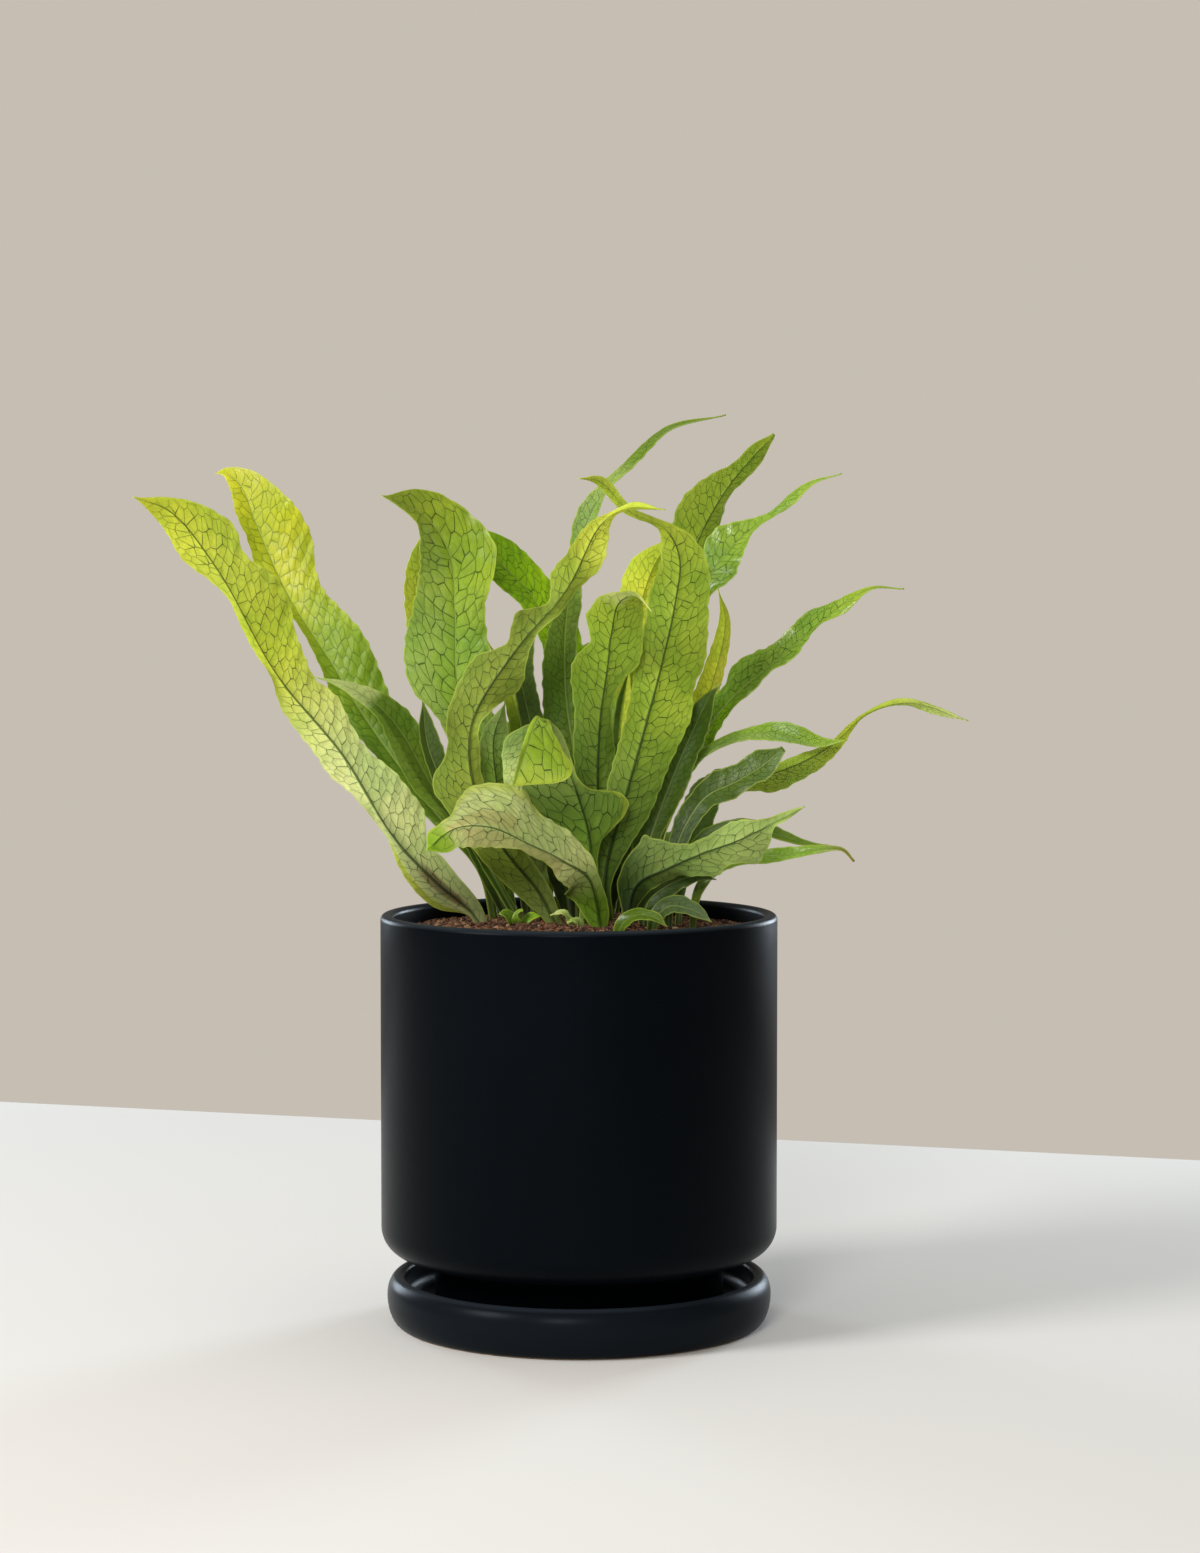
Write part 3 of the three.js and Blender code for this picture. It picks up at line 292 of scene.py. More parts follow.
    right=[2, 2, 2, 2, 2, 2.5, 3, 4, 6, 7.5, 7.5, 5, 5, 3, 6.5, 5, 2, 3.5, 2.5, 1, 0],
), dict(
    name="frond_right_small", fold=12, wave=1.2, waves=2, seed=18, slot="frond_dark",
    upper="dark deep deep", under="leaf pale_green",
    spine=[(22, 0, 165), (28, 3, 199), (40, 7, 233), (50, 9, 256), (56, 9, 268), (61, 8, 274)],
    faces=[(-0.3, -1, 0.2), (-0.2, -0.8, 0.6)],
    left=[1.5, 3, 5, 6, 7, 5.5, 8, 7, 7, 4, 0], right=[1.5, 3, 4.5, 5.5, 5, 7, 8, 7.5, 8, 5, 0],
), dict(
    name="frond_right_long", seen="under", wave=1.4, waves=4, seed=19, slot="frond_green",
    upper="deep leaf spring spring", under="dark leaf fresh fresh lime pale",
    spine=[(37, 11, 165), (39, 14, 200), (50, 15, 224), (69, 15, 231), (91, 15, 238), (108, 14, 247),
        (124, 14, 261), (143, 14, 266), (168, 14, 258)],
    faces=[(-0.2, 0.9, 0.3), (-0.2, 0.9, 0.3), (0, 0.8, 0.6)],
    left=[2, 2, 2, 2, 2, 2, 2.5, 3, 3, 3, 3, 3, 3, 1.5, 1.5, 1, 1, 1.5, 1.5, 1, 0],
    right=[2, 2, 2, 2, 2, 2, 2, 3, 4, 5.5, 9.5, 9.5, 8.5, 5, 2.5, 1, 1, 2.5, 3.5, 2.5, 0],
), dict(
    name="frond_right_curled", fold=12, wave=1.8, seed=20, slot="frond_dark",
    upper="dark dark deep", under="deep leaf pale_green",
    spine=[(38, -10, 165), (40, -9, 200), (53, -6, 225), (68, -5, 233), (79, -5, 240), (87, -6, 247)],
    faces=[(-0.4, -1, 0.2), (-0.3, -1, 0.3), (-0.2, -1, 0.4)],
    left=[1.5, 2, 4, 5, 4, 6, 5, 8, 7, 7, 1], right=[1.5, 2, 3, 3.5, 4.5, 4.5, 6, 7, 5.5, 6.5, 2],
), dict(
    name="frond_right_light", wave=1.4, seed=21, slot="frond_green",
    upper="dark deep spring spring", under="leaf pale_green",
    spine=[(31, 3, 165), (34, 9, 205), (43, 13, 231), (54, 13, 244), (67, 11, 251), (84, 9, 253),
        (102, 6, 248), (115, 4, 250)],
    faces=[(-0.4, -0.8, 0.2), (-0.2, -0.9, 0.4), (0, -0.8, 0.6)],
    left=[1.5, 1.5, 1.5, 1.5, 2, 2, 2, 3, 5, 5, 0], right=[1.5, 1.5, 1.5, 1.5, 2, 2, 2, 3, 4.5, 2, 0],
), dict(
    name="frond_front_right", seen="under", fold=12, wave=2, seed=22, slot="frond_pale",
    upper="deep leaf spring", under="shade dark pale_green pale_green pale_green",
    spine=[(20, -17, 165), (24, -20, 189), (37, -26, 197), (52, -32, 204), (67, -38, 210), (82, -44, 218),
        (94, -50, 225)],
    faces=[(-0.2, 1, 0.2), (-0.2, 1, 0.1), (-0.2, 1, 0)],
    left=[2, 2, 2.5, 4, 7, 10, 13, 16, 12.5, 8.5, 6, 6, 6.5, 7.5, 7.5, 6.5, 4.5, 3, 2.2, 1.3, 0],
    right=[2, 2, 2.5, 4, 6, 6, 6, 6, 6, 8, 10, 12, 9.5, 9.5, 13.5, 10.5, 6.5, 1.5, 1.5, 1, 0],
), dict(
    name="frond_right_shaded", fold=12, wave=1, waves=2, seed=23, slot="frond_dark",
    upper="shade dark dark", under="dark deep",
    spine=[(27, -9, 165), (29, -11, 181), (38, -13, 189), (49, -16, 193), (58, -20, 192)],
    faces=[(-0.2, -1, 0.2), (0, -1, 0.4)],
    left=[1.5, 2, 4, 5, 5.5, 5, 3, 0], right=[1.5, 2, 4, 5, 5, 4, 2.5, 0],
), dict(
    name="frond_right_narrow", fold=12, wave=0.6, waves=2, seed=24, slot="frond_dark",
    upper="deep deep deep leaf", under="leaf leaf",
    spine=[(42, 1, 165), (45, 2, 190), (53, 2, 207), (66, 2, 213), (80, 2, 211), (97, 2, 206),
        (107, 2, 205)],
    faces=[(-0.2, -1, 0.3), (0, -1, 0.5)],
    left=[1.5, 1.5, 2, 3, 3.5, 3, 3.5, 3, 1.5, 0], right=[1.5, 1.5, 2, 3, 3.5, 3.5, 3, 2.5, 1.5, 0],
), dict(
    name="frond_right_dried_tip", fold=12, wave=0.6, seed=25, slot="frond_green",
    upper="deep leaf spring spring spring brown", under="leaf pale_green brown",
    spine=[(48, -7, 165), (51, -7, 186), (62, -7, 198), (80, -8, 201), (91, -9, 202), (101, -10, 204),
        (112, -11, 204), (117, -12, 199)],
    faces=[(-0.2, -1, 0.3), (0, -1, 0.5)],
    left=[1.5, 1.5, 2, 2.5, 3, 2.5, 3, 3, 2, 1, 0.5], right=[1.5, 1.5, 2, 2.5, 3.5, 3, 3.5, 2.5, 2, 1, 0.5],
), dict(
    name="frond_low_green", wave=0.4, waves=2, seed=26, slot="frond_green",
    upper="deep deep", under="pale_green pale_green",
    spine=[(15, -34, 165), (18, -36, 174), (24, -39, 178.5), (31, -42, 178), (37, -45, 174.5)],
    faces=[(0, -0.8, 0.6), (0, -0.5, 0.9)],
    left=[1.5, 2, 3.5, 4, 3.5, 2.5, 0],
), dict(
    name="frond_low_grey", wave=0.4, waves=2, seed=27, slot="frond_dark",
    upper="dark grey_green", under="pale_green grey_green",
    spine=[(30, -22, 165), (32, -23, 175), (38, -26, 181), (47, -29, 180), (56, -32, 175)],
    faces=[(0, -0.8, 0.6), (0, -0.6, 0.9)],
    left=[1.5, 2, 4, 5.5, 5, 3.5, 0], right=[1.5, 2, 4, 5, 4.5, 3, 0],
), dict(
    name="frond_left_inner", seen="under", wave=1.4, seed=28, slot="frond_green",
    upper="deep leaf", under="deep pale_green leaf pale_green",
    spine=[(-10, -2, 165), (-22, -5, 191), (-31, -8, 212), (-35, -12, 234), (-36, -15, 251),
        (-31, -18, 267)],
    faces=[(0, 1, 0.2), (0, 1, 0.1)],
    left=[2, 3.5, 7, 8, 8, 8, 7, 5, 0], right=[2, 3.5, 9, 10, 10, 10, 8, 6, 0],
), dict(
    name="frond_inner_dark", wave=1.2, seed=29, slot="frond_dark",
    upper="dark dark deep", under="deep leaf",
    spine=[(-3, 6, 165), (-8, 9, 202), (-15, 10, 233), (-22, 10, 261), (-25, 10, 278), (-22, 10, 294),
        (-16, 10, 306)],
    faces=[(0.2, -1, 0.2), (0.2, -1, 0)],
    left=[2, 5, 10, 8, 6, 4.5, 3.5, 3, 0], right=[2, 4, 8, 7, 6, 6, 6, 4, 0],
), dict(
    name="frond_inner_light", wave=1.2, seed=30, slot="frond_yellow",
    upper="leaf fresh lime", under="pale_green fresh",
    spine=[(-13, 22, 165), (-16, 25, 210), (-24, 27, 249), (-32, 30, 276), (-40, 32, 292)],
    faces=[(0.2, -1, 0.2), (0.3, -1, 0.3)],
    left=[2, 2.5, 3.5, 5, 6, 6, 5, 3.5, 0],
), dict(
    name="frond_middle_narrow", wave=1, seed=31, slot="frond_dark",
    upper="dark deep", under="deep leaf",
    spine=[(10, 17, 165), (15, 18, 202), (17, 19, 237), (19, 20, 262), (22, 21, 282)],
    faces=[(0, -1, 0.2), (0, -1, 0.1)],
    left=[2, 2.5, 3.5, 4.5, 5, 5, 4, 3, 0], right=[2, 4, 8, 7, 6, 5, 4, 3, 0],
), dict(
    name="frond_yellow_sliver", fold=14, wave=1.2, seed=32, slot="frond_yellow",
    upper="dark leaf lime lime", under="pale_green lime yellow",
    spine=[(-22, 21, 165), (-28, 28, 210), (-44, 32, 249), (-59, 34, 280), (-66, 35, 306), (-67.5, 35, 328),
        (-65.5, 33, 345)],
    faces=[(0.2, -1, 0.2), (0.2, -1, 0)],
    left=[2, 2.5, 4, 5.5, 7, 9.5, 11.5, 11, 8.5, 0], right=[2, 2.5, 4, 6, 8, 8, 8, 7, 4, 0],
), dict(
    name="frond_back_left", seen="under", wave=1.6, seed=33, slot="frond_pale",
    upper="dark leaf fresh", under="deep pale_green pale fresh",
    spine=[(-16, 39, 165), (-22, 48, 205), (-34, 64, 238), (-48, 84, 258), (-62, 104, 262)],
    faces=[(0, -0.6, 0.8), (0, -0.2, 1)],
    left=[2, 3, 6, 9, 11, 12, 10, 7, 0], right=[2, 3, 6, 9, 12, 12, 11, 7, 0],
), dict(
    name="frond_back_middle", wave=1.8, waves=4, seed=34, slot="frond_green",
    upper="deep leaf spring fresh", under="leaf pale_green pale",
    spine=[(0, 45, 165), (2, 54, 215), (4, 72, 260), (8, 96, 286), (12, 122, 288)],
    faces=[(0, -0.8, 0.4), (0, -0.3, 1)],
    left=[2, 3, 6, 9, 12, 13, 11, 7, 0], right=[2, 3, 6, 10, 12, 13, 12, 7, 0],
), dict(
    name="frond_back_right", wave=1.6, seed=35, slot="frond_green",
    upper="deep leaf leaf fresh", under="leaf pale_green pale",
    spine=[(14, 47, 165), (22, 57, 208), (32, 74, 242), (46, 96, 260), (62, 118, 258)],
    faces=[(0, -0.6, 0.8), (0, -0.2, 1)],
    left=[2, 3, 6, 9, 11, 11, 10, 6, 0], right=[2, 3, 6, 9, 11, 12, 10, 6, 0],
), dict(
    name="frond_back_outer_right", wave=1.4, seed=36, slot="frond_dark",
    upper="dark deep leaf", under="leaf pale_green",
    spine=[(36, 27, 165), (46, 38, 198), (55, 56, 220), (63, 76, 232), (70, 94, 232)],
    faces=[(0, -0.6, 0.8), (0, -0.2, 1)],
    left=[2, 3, 5, 7, 8, 8, 6, 4, 0],
), dict(
    name="frond_back_outer_left", wave=1.4, seed=37, slot="frond_green",
    upper="deep spring fresh", under="leaf pale_green",
    spine=[(-27, 34, 165), (-38, 46, 196), (-52, 62, 220), (-68, 80, 234), (-84, 92, 234)],
    faces=[(0, -0.6, 0.8), (0, -0.2, 1)],
    left=[2, 3, 5, 7, 8, 8, 6, 4, 0],
), dict(
    name="frond_back_low_left", wave=1, waves=2, seed=38, slot="frond_dark",
    upper="dark deep leaf", under="deep pale_green",
    spine=[(-7, 53, 165), (-11, 62, 190), (-19, 78, 208), (-30, 96, 210)],
    faces=[(0, -0.6, 0.8), (0, -0.2, 1)],
    left=[1.5, 2, 4, 5.5, 5, 3.5, 0],
), dict(
    name="frond_back_low_right", wave=1, waves=2, seed=39, slot="frond_green",
    upper="deep leaf spring", under="leaf pale_green",
    spine=[(25, 51, 165), (30, 60, 188), (40, 76, 203), (52, 92, 203)],
    faces=[(0, -0.6, 0.8), (0, -0.2, 1)],
    left=[1.5, 2, 4, 5.5, 5, 3.5, 0],
)]

# Patches of another colour: the fronds' own markings, except the pale patches on the broad green frond,
# which are painted sheen. Each gives the side, from and to along the length (0 to 1), from and to across it
# (-1 at the left margin, 1 at the right one), the colour and how much of it
MARKS_AND_SHEEN = {
    "frond_left_outer": [
        ("under", 0.06, 0.24, -1.2, -0.68, "lime", 0.9), ("under", 0.07, 0.17, -0.3, 0.25, "brown", 0.75),
        ("under", 0.10, 0.30, -0.6, 0.2, "grey_green", 0.3),
    ],
    "frond_left_dark": [
        ("upper", 0.3, 0.85, -1.2, -0.5, "spring", 0.95), ("upper", 0.82, 1.1, -1.2, 1.2, "pale", 0.8),
    ],
    # Painted sheen: pale-green patches standing in for highlights on the broad frond's blade
    "frond_broad_green": [
        ("upper", 0.3, 0.62, -1.2, -0.45, "pale_green", 0.5),
        ("upper", 0.62, 0.9, -1.2, -0.2, "pale_green", 0.35),
        ("upper", 0.2, 0.6, 0.55, 1.2, "pale_green", 0.4),
    ],
    "frond_wavy_olive": [("under", 0.9, 1.1, -1.2, 1.2, "yellow", 0.6)],
    "frond_front_arching": [
        ("under", 0.38, 0.84, -1.2, -0.1, "blush", 0.6), ("under", 0.62, 0.92, 0.06, 0.4, "blush", 0.6),
        ("under", 0.9, 1.1, -1.2, 1.2, "vivid", 0.75), ("under", 0.5, 0.95, 0.86, 1.2, "lime", 0.6),
    ],
    "frond_front_folded": [
        ("upper", 0.93, 1.1, 0.1, 1.2, "lime", 0.5), ("upper", 0.7, 0.95, 0.88, 1.2, "lime", 0.5),
        ("under", 0.32, 0.5, 0.88, 1.2, "lime", 0.6),
    ],
    "frond_middle_dark": [("upper", 0.66, 0.8, -1.2, 1.2, "pale_green", 0.7)],
    "frond_middle_narrow": [("upper", 0.72, 1.1, -0.2, 1.2, "yellow", 0.9)],
    "frond_middle_olive": [("under", 0.86, 1.1, -1.2, 0.2, "pale", 0.6)],
    "frond_right_glossy": [("upper", 0.35, 0.7, -1.2, -0.6, "spring", 0.5)],
    "frond_right_light": [("upper", 0.5, 0.9, 0.1, 1.2, "pale_green", 0.5)],
}

# Young leaflets, old stubs and the hidden half of the folded tip, in the same form as the fronds
LEAFLETS = [dict(
    name="folded_tip_lobe", seen="under", fold=0, wave=0.6, waves=2, seed=46, slot="frond_pale",
    upper="leaf fresh", under="leaf pale_green pale pale_green",
    spine=[(-14, -53, 260), (-19, -55, 252), (-22, -55, 243), (-24, -51, 234), (-25, -46, 226)],
    faces=[(0, 1, 0.1)],
    left=[1, 1, 1, 1, 1, 1, 0], right=[1, 6, 10.5, 9.5, 7.5, 6, 0],
), dict(
    name="leaflet_left", fold=8, wave=0.3, waves=2, seed=41, slot="frond_green",
    upper="deep leaf spring", under="leaf spring",
    spine=[(-27, -3, 167), (-28, -4, 172), (-31, -6, 175.5), (-34, -8, 176.5)],
    faces=[(0, -0.8, 0.6), (0, -0.6, 0.8)],
    left=[1, 1, 3, 3.6, 3, 0],
), dict(
    name="leaflet_middle", fold=8, wave=0.3, waves=2, seed=42, slot="frond_green",
    upper="deep leaf fresh", under="leaf spring",
    spine=[(-26, -3, 167), (-26, -5, 173), (-25, -8, 177), (-24, -10, 178)],
    faces=[(0, -0.8, 0.6), (0, -0.6, 0.8)],
    left=[1, 1, 2.6, 3.2, 2.4, 0],
), dict(
    name="leaflet_right", fold=8, wave=0.3, waves=2, seed=43, slot="frond_green",
    upper="deep leaf vivid", under="leaf spring",
    spine=[(-25, -4, 167), (-23, -6, 172), (-20, -8, 175), (-16, -9, 175.5)],
    faces=[(0, -0.8, 0.6), (0, -0.6, 0.8)],
    left=[1, 1, 2.8, 3, 2, 0],
), dict(
    name="stub_upper", fold=14, wave=0.6, seed=44, slot="frond_pale",
    upper="leaf pale_green pale", under="leaf pale",
    spine=[(-2, -18, 167), (-3, -19, 174), (-7, -20, 178), (-12, -21, 177)],
    faces=[(0, -0.8, 0.6), (0, -0.6, 0.8)],
    left=[1, 1.6, 1.8, 1.2, 0], right=[1, 1.6, 1.4, 1.6, 0],
), dict(
    name="stub_lower", fold=14, wave=0.6, seed=45, slot="frond_pale",
    upper="leaf pale_green pale_green", under="leaf pale",
    spine=[(1, -20, 167), (1, -21, 171), (-1, -23, 175), (-5, -24, 174)],
    faces=[(0, -0.8, 0.6), (0, -0.6, 0.8)],
    left=[1, 2, 2.2, 1.4, 0], right=[1, 1.8, 2, 1.6, 0],
)]


def smooth(low, high, x):
    t = np.clip((x - low) / (high - low), 0, 1)
    return t * t * (3 - 2 * t)


def sway(u, cycles, seed):
    """A wave that never repeats, from two sines."""
    slow = np.sin(2 * np.pi * (cycles * u + 0.37 * seed))
    return 0.65 * slow + 0.35 * np.sin(2 * np.pi * (1.73 * cycles * u + 0.71 * seed))


def along(values, u):
    """Values spread evenly from 0 to 1, joined by a smooth curve and read at each u."""
    values = np.asarray(values, float)
    last = len(values) - 1
    x = np.asarray(u) * last
    i = np.minimum(np.floor(x).astype(int), last - 1)
    t = x - i
    if values.ndim > 1:
        t = t[:, None]
    a, b = values[np.maximum(i - 1, 0)], values[i]
    c, d = values[i + 1], values[np.minimum(i + 2, last)]
    return 0.5 * (2 * b + (c - a) * t + (2 * a - 5 * b + 4 * c - d) * t**2 + (3 * b - a - 3 * c + d) * t**3)


def unit(vectors):
    return vectors / np.linalg.norm(vectors, axis=-1, keepdims=True)


def linear(name):
    """A palette colour in linear light."""
    c = np.array(PALETTE[name]) / 255
    return np.where(c <= 0.04045, c / 12.92, ((c + 0.055) / 1.055) ** 2.4)


class Spine:
    """A centripetal Catmull-Rom curve through a frond's points, read by its arc length."""

    def __init__(self, points):
        points = np.array(points, float)
        first = 2 * points[0] - points[1]
        last = 2 * points[-1] - points[-2]
        self.points = np.vstack([first, points, last])
        self.spans = len(points) - 1
        self.t = np.linspace(0, 1, 401)
        steps = np.linalg.norm(np.diff(self.place(self.t), axis=0), axis=1)
        self.lengths = np.concatenate([[0], np.cumsum(steps)])
        self.length = self.lengths[-1]

    def place(self, t):
        x = t * self.spans
        i = np.minimum(np.floor(x).astype(int), self.spans - 1)
        w = (x - i)[:, None]
        p0, p1, p2, p3 = (self.points[i + k] for k in range(4))
        gaps = ((p0, p1), (p1, p2), (p2, p3))
        d0, d1, d2 = (np.sqrt(np.linalg.norm(b - a, axis=1))[:, None] for a, b in gaps)
        m1 = ((p1 - p0) / d0 - (p2 - p0) / (d0 + d1) + (p2 - p1) / d1) * d1
        m2 = ((p2 - p1) / d1 - (p3 - p1) / (d1 + d2) + (p3 - p2) / d2) * d1
        return p1 + m1 * w + (-3 * p1 + 3 * p2 - 2 * m1 - m2) * w**2 + (2 * p1 - 2 * p2 + m1 + m2) * w**3

    def at(self, u):
        """The places and directions at shares u of the length."""
        t = np.interp(u * self.length, self.lengths, self.t)
        step = 1e-4
        ahead = self.place(np.minimum(t + step, 1))
        behind = self.place(np.maximum(t - step, 0))
        return self.place(t), unit(ahead - behind)


def add_object(name, data):
    thing = bpy.data.objects.new(name, data)
    bpy.context.scene.collection.objects.link(thing)
    return thing


def mesh_piece(name, points, faces, smooth_faces=True):
    """A new object from points in millimetres and faces."""
    mesh = bpy.data.meshes.new(name)
    mesh.from_pydata((np.asarray(points) * MM).tolist(), [], faces)
    if smooth_faces:
        mesh.shade_smooth()
    return add_object(name, mesh)


def store(piece, name, values):
    """Writes one vector, or one colour, for each point of a piece."""
    values = np.asarray(values, np.float32)
    kind, field = ("FLOAT_COLOR", "color") if values.shape[1] == 4 else ("FLOAT_VECTOR", "vector")
    piece.data.attributes.new(name, kind, "POINT").data.foreach_set(field, values.ravel())


def finish_piece(piece, slot, material, *nodes):
    piece.data.materials.append(material)
    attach(piece, "root")
    if nodes:
        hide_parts(*nodes)


class Nodes:
    """A node tree under construction. Inputs are numbers, colours or other nodes' outputs."""

    def __init__(self, tree):
        self.tree = tree
        tree.nodes.clear()

    def node(self, kind, inputs=(), **settings):
        node = self.tree.nodes.new(kind)
        for key, value in settings.items():
            setattr(node, key, value)
        for key, value in dict(inputs).items():
            self.feed(node.inputs[key], value)
        return node

    def feed(self, socket, value):
        if isinstance(value, bpy.types.NodeSocket):
            self.tree.links.new(value, socket)
        else:
            socket.default_value = value

    def ramp(self, value, low, high, start=0.0, end=1.0):
        inputs = {"Value": value, "From Min": low, "From Max": high, "To Min": start, "To Max": end}
        return self.node("ShaderNodeMapRange", inputs, interpolation_type="SMOOTHSTEP").outputs[0]

    def cells(self, vector, scale, jitter):
        """How far each place is from the nearest border between cells."""
        inputs = {"Vector": vector, "Scale": scale, "Randomness": jitter}
        settings = {"feature": "DISTANCE_TO_EDGE", "voronoi_dimensions": "2D"}
        return self.node("ShaderNodeTexVoronoi", inputs, **settings).outputs["Distance"]


class Shader(Nodes):
    """A material round one Principled surface."""

    def __init__(self, name):
        self.material = bpy.data.materials.new(name)
        self.material.use_nodes = True
        super().__init__(self.material.node_tree)
        self.surface = self.node("ShaderNodeBsdfPrincipled")
        self.node("ShaderNodeOutputMaterial", {"Surface": self.surface.outputs["BSDF"]})
        self.where = self.node("ShaderNodeTexCoord").outputs["Object"]

    def set(self, **values):
        """Feeds the surface's sockets, named with underscores."""
        for key, value in values.items():
            self.feed(self.surface.inputs[key.replace("_", " ")], value)

    def calc(self, operation, *values):
        return self.node("ShaderNodeMath", enumerate(values), operation=operation).outputs[0]

    def times(self, a, b):
        return self.calc("MULTIPLY", a, b)

    def scaled(self, value, factor, start):
        return self.calc("MULTIPLY_ADD", value, factor, start)

    def falling(self, value, low, high):
        return self.ramp(value, low, high, 1.0, 0.0)

    def mix(self, share, a, b, blend="MIX"):
        node = self.node("ShaderNodeMix", data_type="RGBA", blend_type=blend)
        for index, value in ((0, share), (6, a), (7, b)):
            self.feed(node.inputs[index], value)
        return node.outputs[2]

    def multiplied(self, a, b):
        return self.mix(1.0, a, b, "MULTIPLY")

    def split(self, vector):
        return self.node("ShaderNodeSeparateXYZ", {"Vector": vector}).outputs[:]

    def attribute(self, name, output="Vector"):
        return self.node("ShaderNodeAttribute", attribute_name=name).outputs[output]

    def noise(self, scale, detail=2.0, roughness=0.5):
        inputs = {"Vector": self.where, "Scale": scale, "Detail": detail, "Roughness": roughness}
        return self.node("ShaderNodeTexNoise", inputs).outputs["Fac"]

    def bump(self, height, depth, strength=1.0, under=None):
        """A relief of a depth in millimetres, over another one if it is given."""
        inputs = {"Height": height, "Distance": depth * MM, "Strength": strength}
        if under is not None:
            inputs["Normal"] = under
        return self.node("ShaderNodeBump", inputs).outputs["Normal"]


def leaf_material(name, gloss, vein_depth, vein_tint):
    """A frond's skin, over its stored vectors: "net" holds the rows of cells, the cells across and 1 on the
    upper side, and "place" holds the share of the length and the millimetres from midrib and from margin."""
    shader = Shader(name)
    mix, ramp, falling, times = shader.mix, shader.ramp, shader.falling, shader.times
    net = shader.attribute("net")
    rows, _, side = shader.split(net)
    share, off_midrib, off_margin = shader.split(shader.attribute("place"))
    away = shader.calc("ABSOLUTE", off_midrib)
    narrow = ramp(shader.calc("ADD", away, off_margin), 2.0, 6.0, 0.3, 1.0)
    near_margin = times(ramp(off_margin, 0.3, 1.6), narrow)

    # The net: polygons between the lateral veins, which are every second border between the rows of cells
    distance = shader.cells(net, 1.0, CELL_JITTER)
    lateral = falling(shader.calc("PINGPONG", rows, 1.0), 0.22, 0.4)
    lateral = times(lateral, ramp(off_margin, 1.0, 6.0))
    width = times(shader.scaled(lateral, VEIN_WIDTH, VEIN_WIDTH), ramp(off_margin, 0.3, 7.0, 0.6, 1.0))
    veins = falling(distance, times(width, 0.5), width)
    veins = times(times(veins, shader.scaled(lateral, 0.05, 0.95)), near_margin)
    fine = falling(shader.cells(net, FINE_NET, 0.95), 0.015, 0.07)
    fine = times(times(fine, FINE_STRENGTH), near_margin)
    lines = shader.calc("MAXIMUM", veins, fine)
    rib_width = ramp(share, 0.0, 0.9, RIB_AT_ROOT, RIB_AT_TIP)
    rib = times(falling(away, times(rib_width, 0.5), rib_width), narrow)
    rim = falling(off_margin, 0.2, 0.65)

    # Colour: mottled lamina, a lighter heart to each cell, darker veins, a bright thin margin
    patches = shader.noise(38.0, 3.0, 0.6)
    specks = shader.noise(420.0, 2.0, 0.6)
    mottle = mix(ramp(patches, 0.35, 0.68), (0.80, 0.88, 0.72, 1), (1.14, 1.08, 1.04, 1))
    heart = mix(ramp(distance, 0.02, 0.25), (0.93, 0.95, 0.92, 1), (1.03, 1.03, 1.01, 1))
    grain = mix(ramp(specks, 0.3, 0.7), (0.94, 0.95, 0.92, 1), (1.05, 1.05, 1.05, 1))
    lamina = shader.attribute("tint", "Color")
    for layer in (mottle, heart, grain):
        lamina = shader.multiplied(lamina, layer)
    veined = shader.multiplied(lamina, vein_tint)
    rib_colour = mix(times(side, 0.75), veined, mix(0.55, lamina, RIB_GREEN))
    colour = mix(times(lines, LINE_STRENGTH), lamina, veined)
    colour = mix(times(rib, LINE_STRENGTH), colour, rib_colour)
    colour = mix(times(rim, 0.7), colour, mix(0.5, lamina, MARGIN_GREEN))

    # Relief: veins sunk in the upper side and raised on the underside, over a fine skin
    sunk = times(shader.calc("MAXIMUM", lines, rib), shader.scaled(side, -2.0, 1.0))
    relief = shader.bump(shader.noise(1500.0, 2.0, 0.6), 0.03, 0.3, shader.bump(sunk, vein_depth))
    dull = shader.scaled(side, gloss - UNDER_ROUGHNESS, UNDER_ROUGHNESS)
    rough = shader.calc("ADD", dull, ramp(patches, 0.3, 0.7, 0.06, -0.05))
    shader.set(Base_Color=colour, Roughness=rough, Normal=relief, IOR=1.45, Specular_IOR_Level=0.36)
    shader.set(Subsurface_Weight=0.2, Subsurface_Radius=(0.9, 1.0, 0.35), Subsurface_Scale=0.4 * MM)
    return shader.material


def pucker_group():
    """Geometry nodes that lift each cell of the net between its veins, by the piece's own "lift" vectors."""
    group = bpy.data.node_groups.new("pucker", "GeometryNodeTree")
    for end in ("INPUT", "OUTPUT"):
        group.interface.new_socket("Geometry", in_out=end, socket_type="NodeSocketGeometry")
    nodes = Nodes(group)
    kind = "GeometryNodeInputNamedAttribute"
    named = [nodes.node(kind, {"Name": name}, data_type="FLOAT_VECTOR") for name in ("net", "lift")]
    net, lift = (node.outputs["Attribute"] for node in named)
    dome = nodes.ramp(nodes.cells(net, 1.0, CELL_JITTER), 0.0, 0.34, -0.35, 0.65)
    raised = nodes.node("ShaderNodeVectorMath", {0: lift, "Scale": dome}, operation="SCALE")
    bare = nodes.node("NodeGroupInput").outputs[0]
    moved = nodes.node("GeometryNodeSetPosition", {"Geometry": bare, "Offset": raised.outputs[0]})
    nodes.node("NodeGroupOutput", {0: moved.outputs["Geometry"]})
    return group


def settle(pieces):
    """Turns the pieces' modifiers into their meshes."""
    graph = bpy.context.evaluated_depsgraph_get()
    for piece in pieces:
        settled = bpy.data.meshes.new_from_object(
            piece.evaluated_get(graph), preserve_all_data_layers=True, depsgraph=graph
        )
        piece.modifiers.clear()
        plain, piece.data = piece.data, settled
        bpy.data.meshes.remove(plain)
        piece.data.name = piece.name


